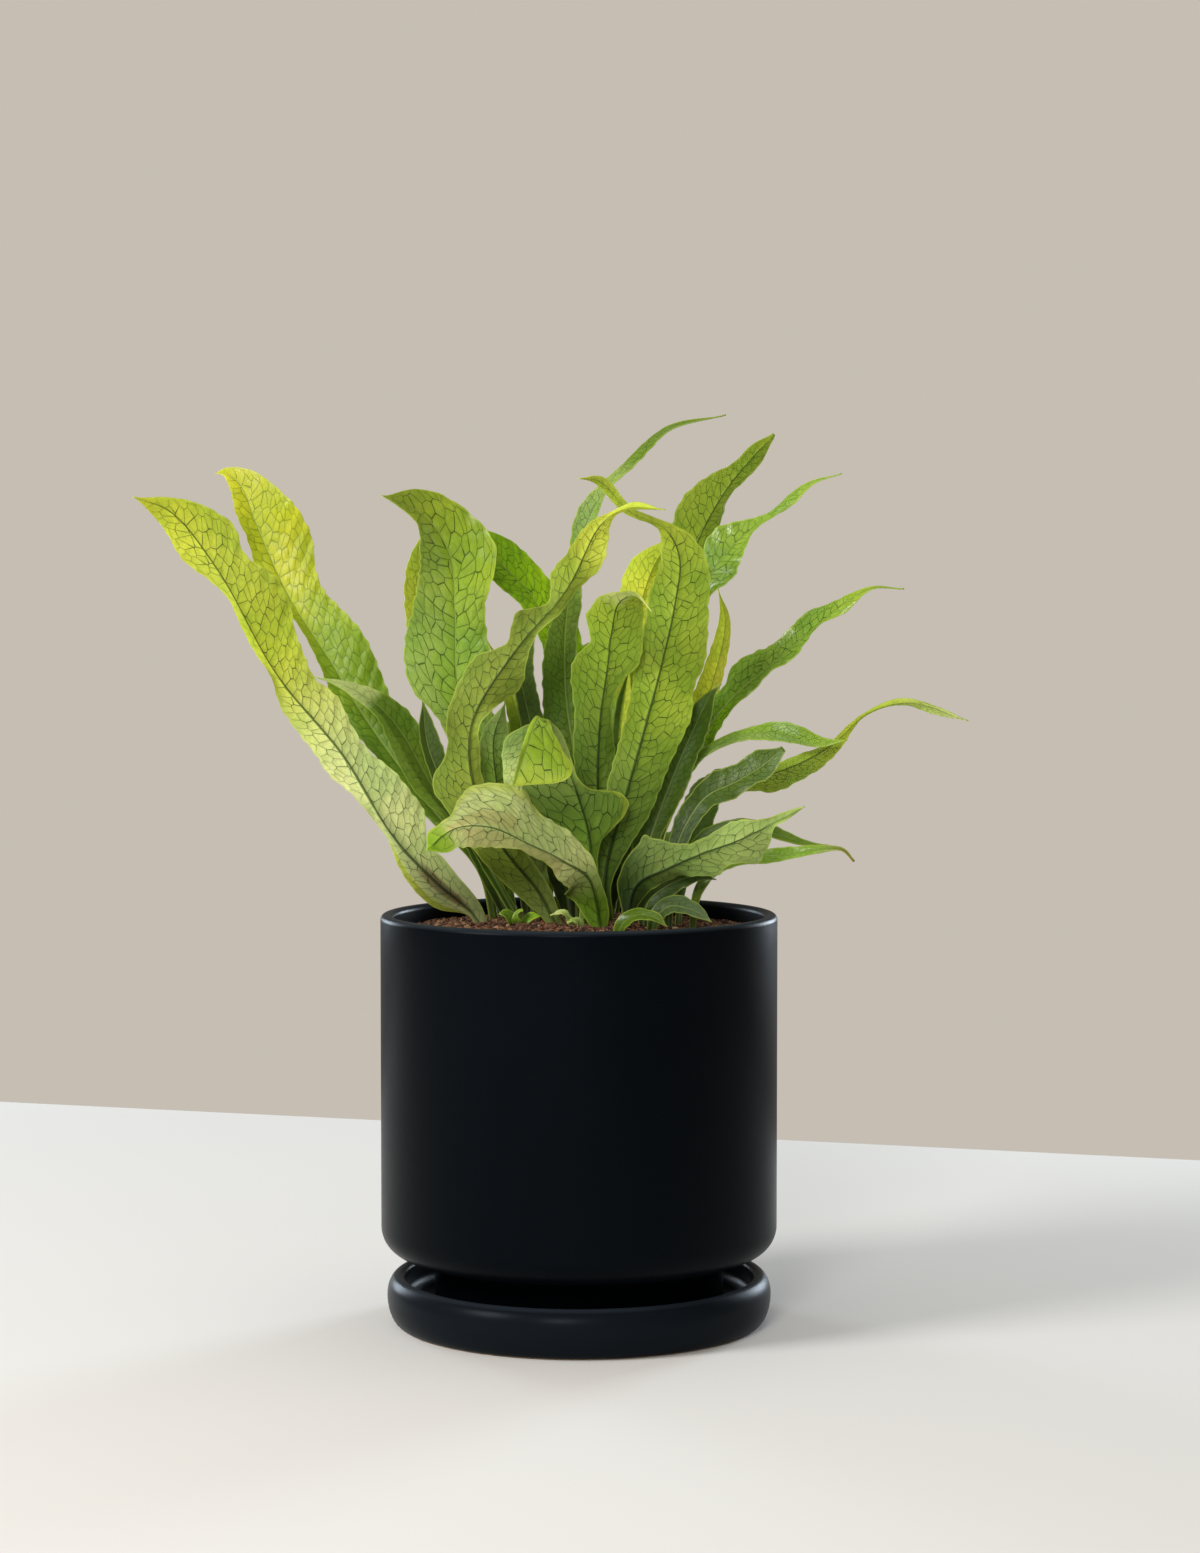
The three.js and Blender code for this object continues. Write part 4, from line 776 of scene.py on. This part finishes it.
def across_steps(widest):
    """Places from the left margin (-1) to the right one (1), closer together at the midrib and margins."""
    count = max(4, round(widest / FINE_STEP))
    inner = np.linspace(0, 1, count + 1)[:-1] ** 1.25
    half = np.concatenate([inner, [1 - 0.25 / max(widest, 3), 1]])
    return np.concatenate([-half[:0:-1], half])


def frond(spec, group):
    """A fine frond in the place of its CAD node: two skins on its spine, folded, waved, pleated, puckered."""
    spec = PLAIN_FROND | spec
    seed, left = spec["seed"], spec["left"]
    right = spec.get("right", left)
    spine = Spine(spec["spine"])
    u = np.linspace(0, 1, round(spine.length / FINE_STEP) + 1)
    centre, tangent = spine.at(u)
    hint = unit(along(spec["faces"], u))
    normal = unit(hint - tangent * np.sum(hint * tangent, axis=1, keepdims=True))
    mirror = -1 if spec["seen"] == "under" else 1
    rightward = np.cross(tangent, normal) * mirror

    # Margins, and the phase of the lateral veins at each place
    v = across_steps(max(max(left), max(right)))[None, :]
    hand, reach = np.sign(v), np.abs(v)
    stalk = (1 - smooth(0, STALK_SHARE, u))[:, None]
    opened = (smooth(*BLADE_OPENS, u) * (1 - smooth(*BLADE_CLOSES, u)))[:, None]
    margin = np.where(v < 0, along(left, u)[:, None], along(right, u)[:, None])
    notches = sway((u * spine.length / NOTCH_PITCH)[:, None], 1, seed + np.where(v < 0, 0.3, 1.9))
    margin = margin + NOTCH * opened * notches * np.minimum(1, margin / 8)
    margin = np.maximum(np.maximum(margin, 0.5 * STALK_WIDTH * stalk), 0.5 * TIP_WIDTH)
    off = reach * margin
    pitch = VEIN_PITCH + VEIN_PITCH_PER_WIDTH * (max(left) + max(right))
    phase = ((u * spine.length)[:, None] - LATERAL_SLOPE * off - LATERAL_BEND * off**2) / pitch

    # Height over the spine's plane, and thickness
    side_seed = np.where(v < 0, 0, 5.3)
    wave = spec["wave"] * opened * v**2 * sway(u[:, None], spec["waves"], seed + side_seed)
    ripple = RIPPLE * opened * smooth(0.35, 1, reach) * np.sin(2 * np.pi * (phase + 0.2 * seed + side_seed))
    pleat = PLEAT * opened * (np.abs(np.sin(np.pi * phase)) - 0.6) * smooth(0.05, 0.3, reach)
    bend = np.sqrt(off**2 + MIDRIB_ROUND**2) - MIDRIB_ROUND
    fold = math.radians(spec["fold"]) * smooth(0, 0.25, u)[:, None]
    height = bend * np.tan(fold) + wave + (ripple + pleat) * np.minimum(1, margin / 8)
    body = np.sqrt(np.maximum(1 - v**2, 0))
    thickness = BLADE + (MARGIN_BLADE - BLADE) * reach**4 + (STALK_THICKNESS - BLADE) * stalk * body
    rib = np.exp(-((off / KEEL_SPREAD) ** 2)) * (1 - 0.7 * u)[:, None]
    top = height + thickness / 2 - GROOVE_DEPTH * rib * (1 - stalk)
    bottom = height - thickness / 2 - KEEL_HEIGHT * rib

    # What the pucker and the material read at each point
    shift = 0.5 + 0.5 * CELL_JITTER
    across = hand * (off * (1 + 0.3 * reach**2) / (0.5 * pitch)) + shift
    along_net = 2 * phase + shift + 7 * seed
    place = np.stack([np.broadcast_to(u[:, None], off.shape), hand * off, margin - off], axis=-1)
    lift = PUCKER * opened * smooth(0.6, 2.0, off) * smooth(0.0, 1.5, margin - off)
    lift = lift * np.minimum(1, margin / 9)
    lift = normal[:, None] * lift[..., None] * MM

    def both(upper, under):
        """One field over both skins, in the order of their points."""
        return np.concatenate([part[:, ::mirror].reshape(-1, part.shape[-1]) for part in (upper, under)])

    def skin(lifted):
        sideways = rightward[:, None] * (hand * off)[..., None]
        return centre[:, None] + sideways + normal[:, None] * lifted[..., None]

    def net(side):
        return np.stack([along_net, across, np.full(off.shape, side)], axis=-1)

    piece = mesh_piece(spec["name"] + "_fine", both(skin(top), skin(bottom)), strip_faces(*off.shape))
    store(piece, "place", both(place, place))
    store(piece, "lift", both(lift, lift))
    store(piece, "net", both(net(1), net(0)))
    store(piece, "tint", both(*(frond_tint(spec, side, u[:, None], v) for side in ("upper", "under"))))
    piece.modifiers.new("pucker", "NODES").node_group = group
    return piece


def frond_tint(spec, side, u, v):
    """The colours of a side from root to tip, with its marks and painted sheen, and painted shade darkening
    roots in the middle of the crown.
    """
    stops = np.array([linear(name) for name in spec[side].split()])
    tint = np.clip(along(stops, u[:, 0]), 0.002, 1)
    tint = np.broadcast_to(tint[:, None], (len(u), v.size, 3))
    # The patches are the fronds' own markings, except those on the broad green frond, which are painted sheen
    for marked, u0, u1, v0, v1, name, share in MARKS_AND_SHEEN.get(spec["name"], ()):
        if marked != side:
            continue
        lengthwise = smooth(u0 - 0.02, u0 + 0.02, u) * (1 - smooth(u1 - 0.02, u1 + 0.02, u))
        crosswise = smooth(v0 - 0.08, v0 + 0.08, v) * (1 - smooth(v1 - 0.08, v1 + 0.08, v))
        part = share * (lengthwise * crosswise)[..., None]
        tint = tint * (1 - part) + linear(name) * part
    # Painted shade: roots deep in the crown are darkened by up to CROWN_SHADE over the first part of their
    # length
    root_y = spec["spine"][0][1]
    painted_root_shade = CROWN_SHADE * smooth(-26, -4, root_y)
    tint = tint * (1 - painted_root_shade * (1 - smooth(0.03, 0.28, u)))[..., None]
    return np.concatenate([tint, np.ones(tint.shape[:2] + (1,))], axis=-1)


def strip_faces(rows, columns):
    """Quads over an upper and a lower skin of the same grid, and a wall all round them."""
    index = np.arange(rows * columns).reshape(rows, columns)
    a, b, c, d = index[:-1, :-1], index[:-1, 1:], index[1:, 1:], index[1:, :-1]
    top = np.stack([a, b, c, d], axis=-1).reshape(-1, 4)
    under = rows * columns
    ring = np.concatenate([index[0, :-1], index[:-1, -1], index[-1, :0:-1], index[:0:-1, 0]])
    after = np.roll(ring, -1)
    wall = np.stack([after, ring, ring + under, after + under], axis=-1)
    return np.concatenate([top, top[:, ::-1] + under, wall]).tolist()


def arc(x, z, radius_x, radius_z, start, end):
    angles = np.radians(np.linspace(start, end, ARC_STEPS + 1))
    return [(x + radius_x * math.cos(a), z + radius_z * math.sin(a)) for a in angles]


def turned(name, profile):
    """A closed profile of (radius, height) turned round the Z axis; places on the axis become one point."""
    points, rings = [], []
    turns = np.linspace(0, 2 * np.pi, TURNED_SIDES, endpoint=False)
    for radius, height in profile:
        first = len(points)
        if radius < 1e-6:
            points.append((0, 0, height))
            rings.append([first] * TURNED_SIDES)
            continue
        points += [(radius * math.cos(a), radius * math.sin(a), height) for a in turns]
        rings.append(list(range(first, first + TURNED_SIDES)))
    faces = []
    for low, high in zip(rings, rings[1:] + rings[:1]):
        if low[0] == low[-1] and high[0] == high[-1]:
            continue
        for i in range(TURNED_SIDES):
            j = (i + 1) % TURNED_SIDES
            corners = [low[i], low[j], high[j], high[i]]
            faces.append([c for k, c in enumerate(corners) if c != corners[k - 1]])
    return mesh_piece(name, points, faces)


def saucer():
    base, waist, lip, corner = SAUCER_BASE_RADIUS, SAUCER_WAIST, SAUCER_LIP, SAUCER_CORNER
    crest = base + 1
    profile = [(0, SAUCER_RECESS), (SAUCER_FOOT_RADIUS - 2, SAUCER_RECESS)]
    profile += [(SAUCER_FOOT_RADIUS - 1, 0), (base, 0)]
    profile += arc(base, waist, SAUCER_RADIUS - base, waist, -90, 0)[1:]
    profile += arc(crest, waist, SAUCER_RADIUS - crest, SAUCER_HEIGHT - waist, 0, 90)[1:]
    profile += arc(crest, SAUCER_HEIGHT - lip, lip, lip, 90, 180)[1:]
    profile += arc(crest - lip - corner, SAUCER_FLOOR + corner, corner, corner, 0, -90)
    profile += [(40, SAUCER_FLOOR), (0, SAUCER_FLOOR)]
    return turned("saucer_fine", profile)


def pot():
    """The pot, turned from its foot ring up its wall, over the rim and down to the drainage hole."""
    low, corner, inner_corner, bevel = POT_UNDERSIDE_Z, POT_CORNER, POT_INNER_CORNER, FOOT_BEVEL
    inner = POT_RADIUS - POT_WALL
    inner_floor = low + POT_FLOOR
    rim = POT_RIM_Z - RIM_ROUND
    foot_inside = FOOT_RADIUS - FOOT_WALL
    profile = [(foot_inside, POT_FOOT_Z + bevel), (foot_inside + bevel, POT_FOOT_Z)]
    profile += [(FOOT_RADIUS - bevel, POT_FOOT_Z), (FOOT_RADIUS, POT_FOOT_Z + bevel), (FOOT_RADIUS, low)]
    profile += arc(POT_RADIUS - corner, low + corner, corner, corner, -90, 0)
    profile += [(POT_RADIUS, z) for z in np.linspace(low + corner, rim, 12)[1:-1]]
    profile += arc(POT_RADIUS - RIM_ROUND, rim, RIM_ROUND, RIM_ROUND, 0, 90)
    profile += arc(inner + RIM_ROUND, rim, RIM_ROUND, RIM_ROUND, 90, 180)
    profile += arc(inner - inner_corner, inner_floor + inner_corner, inner_corner, inner_corner, 0, -90)
    profile += [(DRAIN_RADIUS, inner_floor), (DRAIN_RADIUS, low), (foot_inside, low)]
    return turned("pot_fine", profile)


def glaze_material(name, bare_below, edge, lighter_share):
    """Satin black glaze with a blue cast, with a painted highlight along the edge at one height, lighter all
    over by a given share, and bare clay below another.
    """
    shader = Shader(name)
    cloud = shader.noise(14.0, 3.0, 0.6)
    specks = shader.noise(900.0, 2.0, 0.7)
    height = shader.split(shader.where)[2]
    glaze = shader.mix(cloud, (0.0012, 0.0020, 0.0032, 1), (0.0020, 0.0032, 0.0050, 1))
    glaze = shader.mix(shader.ramp(specks, 0.62, 0.8), glaze, (0.005, 0.0065, 0.008, 1))
    # Painted highlight: within about 2 mm of the edge's height the glaze turns lighter, for light caught on
    # the rim; the given share lightens it the same way all over
    from_edge = shader.calc("ABSOLUTE", shader.calc("SUBTRACT", height, edge * MM))
    rim_highlight_and_tone = shader.calc("MAXIMUM", shader.falling(from_edge, 0.0, 2.2 * MM), lighter_share)
    glaze = shader.mix(rim_highlight_and_tone, glaze, (0.020, 0.027, 0.036, 1))
    level = shader.scaled(shader.noise(60.0, 3.0, 0.6), 0.7 * MM, height)
    bare = shader.falling(level, (bare_below + 0.1) * MM, (bare_below + 0.5) * MM)
    clay = shader.mix(shader.noise(1400.0, 3.0, 0.7), (0.22, 0.15, 0.095, 1), (0.42, 0.32, 0.22, 1))
    rough = shader.calc("MAXIMUM", shader.ramp(cloud, 0.3, 0.7, 0.29, 0.36), shader.times(bare, 0.9))
    relief = shader.bump(specks, 0.02, 0.5, shader.bump(shader.noise(260.0), 0.05, 0.5))
    shader.set(Base_Color=shader.mix(bare, glaze, clay), Roughness=rough, Normal=relief)
    shader.set(Specular_IOR_Level=0.045, Specular_Tint=(0.78, 0.9, 1, 1))
    return shader.material


def value_noise(x, y, pitch, seed):
    """Smooth noise from -1 to 1 over the plane, with one random value at each crossing of a square grid."""
    grid = np.random.default_rng(seed).uniform(-1, 1, (64, 64))
    gx, gy = x / pitch + 32, y / pitch + 32
    i, j = np.floor(gx).astype(int), np.floor(gy).astype(int)
    fx, fy = smooth(0, 1, gx - i), smooth(0, 1, gy - j)
    (a, b), (c, d) = ([grid[(i + di) % 64, (j + dj) % 64] for di in (0, 1)] for dj in (0, 1))
    return (a * (1 - fx) + b * fx) * (1 - fy) + (c * (1 - fx) + d * fx) * fy


def soil_height(x, y):
    r = np.hypot(x, y) / SOIL_RADIUS
    lumps = 0.9 * value_noise(x, y, 9.0, SEED) + 0.5 * value_noise(x, y, 3.6, SEED + 1)
    crumbs = 0.35 * value_noise(x, y, 1.5, SEED + 2)
    return SOIL_EDGE_Z + SOIL_MOUND * (1 - smooth(0.1, 1, r)) + (lumps + crumbs) * (1 - 0.6 * r**4) - 0.3


def mix_body():
    """The potting mix: a closed body with an uneven crumbly top."""
    turns = np.linspace(0, 2 * np.pi, SOIL_SPOKES, endpoint=False)
    circle = np.stack([np.cos(turns), np.sin(turns), np.zeros(SOIL_SPOKES)], axis=1)
    rings = [circle * (SOIL_RADIUS * ring / SOIL_RINGS) for ring in range(1, SOIL_RINGS + 1)]
    for ring in rings:
        ring[:, 2] = soil_height(ring[:, 0], ring[:, 1])
    for inset, rise in ((0, 10), (3, 3), (10, 0)):
        rings.append(circle * (SOIL_RADIUS - inset) + (0, 0, SOIL_FLOOR_Z + rise))
    points = np.vstack([(0, 0, soil_height(0.0, 0.0)), *rings, (0, 0, SOIL_FLOOR_Z)])

    def at(ring, i):
        return 1 + ring * SOIL_SPOKES + i % SOIL_SPOKES

    faces = []
    last = len(rings) - 1
    for i in range(SOIL_SPOKES):
        j = i + 1
        faces.append((0, at(0, i), at(0, j)))
        faces += [(at(ring, i), at(ring + 1, i), at(ring + 1, j), at(ring, j)) for ring in range(last)]
        faces.append((len(points) - 1, at(last, j), at(last, i)))
    return mesh_piece("mix_fine", points, faces)


def scattered(count, rng, reach):
    radius = reach * np.sqrt(rng.uniform(0, 1, count))
    angle = rng.uniform(0, 2 * np.pi, count)
    return radius * np.cos(angle), radius * np.sin(angle)


def rotation(turn, tilt, roll):
    ct, st, cp, sp, cr, sr = (f(a) for a in (turn, tilt, roll) for f in (math.cos, math.sin))
    about_z = np.array([[ct, -st, 0], [st, ct, 0], [0, 0, 1]])
    about_y = np.array([[cp, 0, sp], [0, 1, 0], [-sp, 0, cp]])
    about_x = np.array([[1, 0, 0], [0, cr, -sr], [0, sr, cr]])
    return about_z @ about_y @ about_x


def chips():
    """Bark and coir chips lying on the mix: small flat wedges, each turned and tilted its own way."""
    rng = np.random.default_rng(SEED + 10)
    corners = np.array([(x, y, z) for z in (-0.5, 0.5) for y in (-0.5, 0.5) for x in (-0.5, 0.5)])
    quads = [(0, 2, 3, 1), (4, 5, 7, 6), (0, 1, 5, 4), (1, 3, 7, 5), (3, 2, 6, 7), (2, 0, 4, 6)]
    points, faces, tints = [], [], []
    x, y = scattered(CHIPS, rng, SOIL_RADIUS - 1.6)
    for i in range(CHIPS):
        size = np.array([rng.uniform(1.2, 3.6), rng.uniform(0.7, 1.7), rng.uniform(0.4, 1.0)])
        shape = corners * size * rng.uniform(0.62, 1.1, (8, 1))
        spin = rotation(rng.uniform(0, 2 * np.pi), rng.normal(0, 0.35), rng.normal(0, 0.5))
        z = float(soil_height(x[i], y[i])) + rng.uniform(-0.1, 0.55)
        points.append(shape @ spin.T + (x[i], y[i], z))
        faces += [[c + 8 * i for c in quad] for quad in quads]
        tone = np.array(BARK[rng.choice(len(BARK), p=BARK_SHARES)]) * rng.uniform(0.75, 1.2)
        tints.append(np.tile([*tone, 1.0], (8, 1)))
    piece = mesh_piece("mix_chips", np.concatenate(points), faces, smooth_faces=False)
    store(piece, "tint", np.concatenate(tints))
    return piece


def fibres():
    """Coir fibres: thin three-sided threads that curl over the mix."""
    rng = np.random.default_rng(SEED + 11)
    points, faces, tints = [], [], []
    xs, ys = scattered(FIBRES, rng, SOIL_RADIUS - 7)
    for x, y in zip(xs, ys):
        heading, curl = rng.uniform(0, 2 * np.pi), rng.normal(0, 0.22)
        length, radius = rng.uniform(4, 10), rng.uniform(0.12, 0.2)
        first = len(points)
        for step in range(FIBRE_STEPS):
            heading += curl
            x += math.cos(heading) * length / FIBRE_STEPS
            y += math.sin(heading) * length / FIBRE_STEPS
            z = float(soil_height(x, y)) + 0.5 + 0.7 * math.sin(math.pi * step / (FIBRE_STEPS - 1))
            for k in range(3):
                a = 2 * math.pi * k / 3
                out, up = radius * math.cos(a), radius * math.sin(a)
                points.append((x - math.sin(heading) * out, y + math.cos(heading) * out, z + up))
        for low in range(first, len(points) - 3, 3):
            faces += [(low + k, low + (k + 1) % 3, low + 3 + (k + 1) % 3, low + 3 + k) for k in range(3)]
        faces += [(first + 2, first + 1, first), (len(points) - 3, len(points) - 2, len(points) - 1)]
        tone = np.array(FIBRE_BROWN) * rng.uniform(0.5, 1.3)
        tints.append(np.tile([*tone, 1.0], (3 * FIBRE_STEPS, 1)))
    piece = mesh_piece("mix_fibres", points, faces)
    store(piece, "tint", np.concatenate(tints))
    return piece


def mix_material(name, tinted):
    """Brown coir and bark, coloured by the piece's own tint or by clumps."""
    shader = Shader(name)
    clumps = shader.noise(260.0, 4.0, 0.7)
    grain = shader.noise(1300.0, 3.0, 0.7)
    if tinted:
        shade = shader.mix(grain, (0.6, 0.58, 0.55, 1), (1.3, 1.28, 1.25, 1))
        colour = shader.multiplied(shader.attribute("tint", "Color"), shade)
    else:
        colour = shader.mix(shader.ramp(clumps, 0.3, 0.7), (0.02, 0.0095, 0.006, 1), (0.105, 0.046, 0.025, 1))
    relief = shader.bump(grain, 0.15, 0.7, shader.bump(clumps, 0.6, 0.8))
    shader.set(Base_Color=colour, Normal=relief, Roughness=shader.ramp(grain, 0.3, 0.7, 0.75, 0.95))
    return shader.material


def floor():
    """A plain pale table top that runs out to the front and sides and ends a little way behind the pot."""
    corners = [(-6000, -6000), (6000, -6000), (6000, -1335), (341, 413), (-363, 631), (-6000, 2376)]
    outline = tuple(range(len(corners)))
    piece = mesh_piece("floor", [(x, y, 0) for x, y in corners], [outline], smooth_faces=False)
    shader = Shader("floor_paint")
    pale = shader.mix(shader.noise(1.6), (0.865, 0.855, 0.83, 1), (0.89, 0.88, 0.855, 1))
    relief = shader.bump(shader.noise(700.0), 0.05, 0.4)
    shader.set(Base_Color=pale, Normal=relief, Roughness=0.9, Specular_IOR_Level=0.2)
    piece.data.materials.append(shader.material)


def area_light(name, place, size, power, colour=(1, 1, 1)):
    """A round soft light that faces the middle of the plant."""
    data = bpy.data.lights.new(name, "AREA")
    data.shape = "DISK"
    data.size = size
    data.energy = power
    data.color = colour
    light = add_object(name, data)
    light.location = place
    light.rotation_euler = (Vector(LIT_PLACE) - Vector(place)).to_track_quat("-Z", "Y").to_euler()


def studio():
    """Soft light from the upper left and the front, less from above and behind, and a warm grey all round."""
    area_light("key", (-1.5, -0.85, 1.12), 0.7, 24, (1, 0.985, 0.96))
    area_light("front", (-0.35, -1.9, 1.0), 0.6, 15, (1, 0.97, 0.93))
    area_light("top", (0.1, 0.1, 1.7), 1.2, 3.6)
    area_light("left_edge", (-1.05, 1.35, 0.4), 0.6, 9, RIM_BLUE)
    area_light("right_edge", (1.05, 1.35, 0.4), 0.6, 17, RIM_BLUE)
    world = bpy.data.worlds.new("studio")
    world.use_nodes = True
    nodes = Nodes(world.node_tree)
    seen = nodes.node("ShaderNodeBackground", {"Color": BACKDROP})
    ambient = nodes.node("ShaderNodeBackground", {"Color": AMBIENT, "Strength": AMBIENT_STRENGTH})
    direct = nodes.node("ShaderNodeLightPath").outputs["Is Camera Ray"]
    mix = nodes.node("ShaderNodeMixShader", {0: direct, 1: ambient.outputs[0], 2: seen.outputs[0]})
    nodes.node("ShaderNodeOutputWorld", {"Surface": mix.outputs[0]})
    bpy.context.scene.world = world
    bpy.context.scene.view_settings.view_transform = "Standard"


def camera():
    data = bpy.data.cameras.new("camera")
    data.sensor_width = SENSOR
    data.lens = SENSOR * FOCAL_PIXELS / FRAME_HEIGHT
    data.clip_end = 50
    eye = add_object("camera", data)
    eye.location = EYE
    eye.rotation_euler = (math.radians(90 - EYE_PITCH), 0, 0)
    bpy.context.scene.camera = eye


camera()
studio()
floor()

# Both glazes carry a painted highlight along their top edge; the saucer's glaze is also a quarter lighter all
# over
finish_piece(saucer(), "glaze", glaze_material("saucer_glaze", 0.6, SAUCER_HEIGHT, 0.25), "saucer")
finish_piece(pot(), "glaze", glaze_material("pot_glaze", POT_FOOT_Z + 0.2, POT_RIM_Z, 0.0), "pot")
finish_piece(mix_body(), "mix", mix_material("mix_dark", tinted=False), "potting_mix")
chip_material = mix_material("bark", tinted=True)
finish_piece(chips(), "mix", chip_material)
finish_piece(fibres(), "mix", chip_material)

LEAVES = {
    "frond_yellow": leaf_material("leaf_yellow", 0.32, 0.2, (0.46, 0.56, 0.30, 1)),
    "frond_pale": leaf_material("leaf_pale", 0.36, 0.25, (0.15, 0.21, 0.13, 1)),
    "frond_green": leaf_material("leaf_green", 0.24, 0.3, (0.20, 0.26, 0.17, 1)),
    "frond_dark": leaf_material("leaf_dark", 0.38, 0.3, (0.42, 0.48, 0.40, 1)),
}
pucker = pucker_group()
fronds = [frond(spec, pucker) for spec in FRONDS]
leaflets = [frond(spec, pucker) for spec in LEAFLETS]
settle(fronds + leaflets)
for spec, piece in zip(FRONDS, fronds):
    finish_piece(piece, spec["slot"], LEAVES[spec["slot"]], spec["name"])
for spec, piece in zip(LEAFLETS, leaflets):
    finish_piece(piece, spec["slot"], LEAVES[spec["slot"]])
